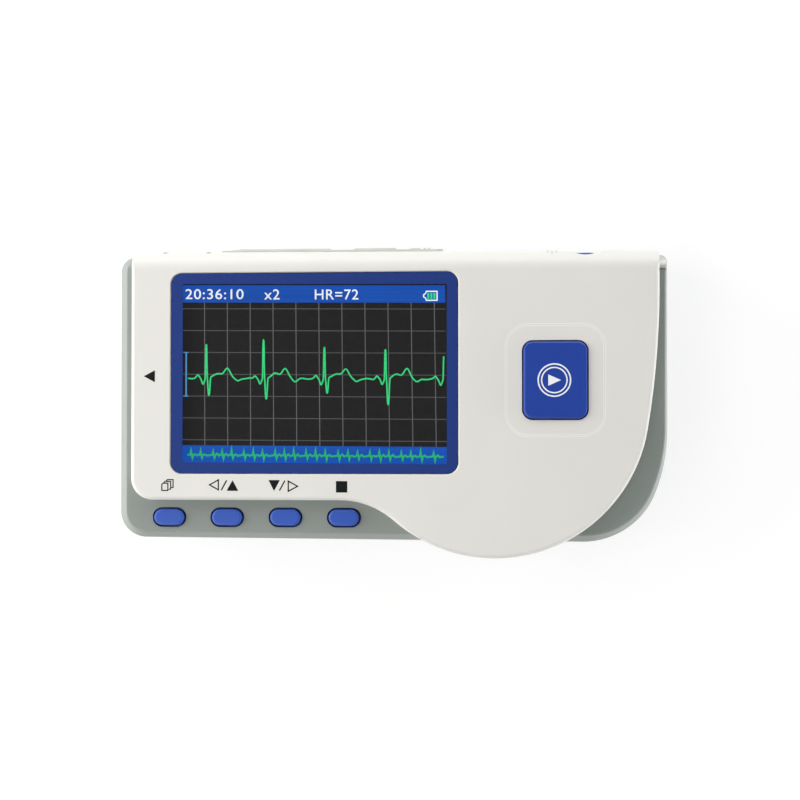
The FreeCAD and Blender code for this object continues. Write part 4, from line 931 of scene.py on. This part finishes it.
class RECORDER_OT_stage(Piece, bpy.types.Operator):
    """Sets the floor, the soft lights, the background and the camera"""
    bl_idname = "recorder.stage"
    bl_label = "Stage"

    def execute(self, context):
        scene = context.scene
        scene.view_settings.view_transform = "Standard"
        self.floor()
        self.world(scene)
        self.lights()
        camera = bpy.data.cameras.new("camera")
        camera.lens, camera.sensor_width, camera.clip_start = LENS_MM, SENSOR_MM, NEAREST
        eye = put("camera", camera)
        eye.location = EYE
        eye.rotation_euler = [math.radians(a) for a in EYE_TURN]
        scene.camera = eye
        return {"FINISHED"}

    def floor(self):
        """A pale paper sweep: white to the eye, with the object's own soft shadow."""
        material, tree = new_material("pale_paper")
        fibre = spots(tree, 1.5, 3.0)
        base = shades(tree, fibre, linear("f6f6f6"), linear("fafafa"))
        paper = add(tree, "ShaderNodeBsdfDiffuse", links={"Color": (base, "Color")})
        place = add(tree, "ShaderNodeTexCoord")
        away = add(tree, "ShaderNodeVectorMath", links={0: (place, "Object")}, operation="LENGTH")
        # the lamps fade with the distance, so the paper's own white grows with it
        strength = add(tree, "ShaderNodeMapRange",
                       {"From Min": FLOOR_FADE[0], "From Max": FLOOR_FADE[1],
                        "To Min": FLOOR_WHITE[0], "To Max": FLOOR_WHITE[1]},
                       {"Value": (away, "Value")})
        white = add(tree, "ShaderNodeEmission", {"Color": (1, 1, 1, 1)},
                    {"Strength": (strength, "Result")})
        path, mirrored = mirror_rays(tree)
        seen = add(tree, "ShaderNodeMath",
                   links={0: (mirrored, "Value"), 1: (path, "Is Camera Ray")},
                   operation="MAXIMUM")
        share = add(tree, "ShaderNodeMath", {1: FLOOR_SHARE}, {0: (seen, "Value")},
                    operation="MULTIPLY")
        both = add(tree, "ShaderNodeMixShader",
                   links={0: (share, "Value"), 1: (paper, "BSDF"), 2: (white, "Emission")})
        mesh = bpy.data.meshes.new("floor")
        corners = rect(-FLOOR_HALF, -FLOOR_HALF, FLOOR_HALF, FLOOR_HALF)
        mesh.from_pydata([(x, y, 0) for x, y in corners], [], [(0, 1, 2, 3)])
        mesh.materials.append(surfaced(material, both, "Shader"))
        floor = put("floor", mesh)
        floor.location.z = -FLOOR_DROP

    def world(self, scene):
        """White to the eye; its light and its mirror image fade towards the zenith."""
        world = bpy.data.worlds.new("studio")
        world.use_nodes = True
        tree = world.node_tree
        tree.nodes.clear()
        place = add(tree, "ShaderNodeTexCoord")
        height = add(tree, "ShaderNodeSeparateXYZ", links={"Vector": (place, "Generated")})
        path, mirrored = mirror_rays(tree)

        def paper(low, overhead):
            """White paper that is bright to the walls' top and dims towards the zenith."""
            fade = add(tree, "ShaderNodeMapRange",
                       {"From Min": WALL_TOP[0], "From Max": WALL_TOP[1],
                        "To Min": low, "To Max": overhead}, {"Value": (height, "Z")})
            return add(tree, "ShaderNodeBackground", {"Color": (1, 1, 1, 1)},
                       {"Strength": (fade, "Result")})

        light, seen = paper(*WALL_LIGHT), paper(*WALL_SEEN)
        white = add(tree, "ShaderNodeBackground", {"Color": (1, 1, 1, 1), "Strength": 1.0})
        walls = add(tree, "ShaderNodeMixShader", links={
            0: (mirrored, "Value"), 1: (light, "Background"), 2: (seen, "Background")})
        pick = add(tree, "ShaderNodeMixShader", links={
            0: (path, "Is Camera Ray"), 1: (walls, "Shader"), 2: (white, "Background")})
        add(tree, "ShaderNodeOutputWorld", links={"Surface": (pick, "Shader")})
        scene.world = world

    def lights(self):
        """Soft boxes, none straight above, where it would lie on the window. Steel mirrors the far
        and the near one. The window shows only the walls, so its picture stays readable."""
        for name, (place, size, power, hex_colour, mirrored) in LAMPS.items():
            lamp = bpy.data.lights.new(name, "AREA")
            lamp.shape, lamp.size, lamp.size_y = "RECTANGLE", size[0], size[1]
            lamp.energy, lamp.color = power, linear(hex_colour)[:3]
            box = put(name, lamp)
            box.location = place
            box.visible_glossy, box.visible_transmission = mirrored, False
            towards = Vector(LAMP_AIM) - Vector(place)
            box.rotation_euler = towards.to_track_quat("-Z", "Y").to_euler()


OPERATORS = (RECORDER_OT_shells, RECORDER_OT_keys, RECORDER_OT_soft_parts, RECORDER_OT_window,
             RECORDER_OT_picture, RECORDER_OT_signs, RECORDER_OT_metalwork,
             RECORDER_OT_electronics, RECORDER_OT_stage)


class RECORDER_PT_panel(bpy.types.Panel):
    """Lists the recorder's operators, colours and picture settings"""
    bl_idname = "RECORDER_PT_panel"
    bl_label = "Pocket ECG recorder"
    bl_space_type = "VIEW_3D"
    bl_region_type = "UI"
    bl_category = "Recorder"

    def draw(self, context):
        for group in (context.scene.recorder_colours, context.scene.recorder_picture):
            for name in group.__annotations__:
                self.layout.prop(group, name)
        for operator in OPERATORS:
            self.layout.operator(operator.bl_idname)


CLASSES = (RecorderColours, RecorderPicture) + OPERATORS + (RECORDER_PT_panel,)


def register():
    """Adds the classes and the scene's settings."""
    for cls in CLASSES:
        bpy.utils.register_class(cls)
    bpy.types.Scene.recorder_colours = PointerProperty(type=RecorderColours)
    bpy.types.Scene.recorder_picture = PointerProperty(type=RecorderPicture)


def unregister():
    """Takes them away again."""
    del bpy.types.Scene.recorder_colours
    del bpy.types.Scene.recorder_picture
    for cls in reversed(CLASSES):
        bpy.utils.unregister_class(cls)


def main():
    """Runs every operator in order."""
    register()
    for operator in OPERATORS:
        group, name = operator.bl_idname.split(".")
        getattr(getattr(bpy.ops, group), name)()


if __name__ == "__main__":
    main()
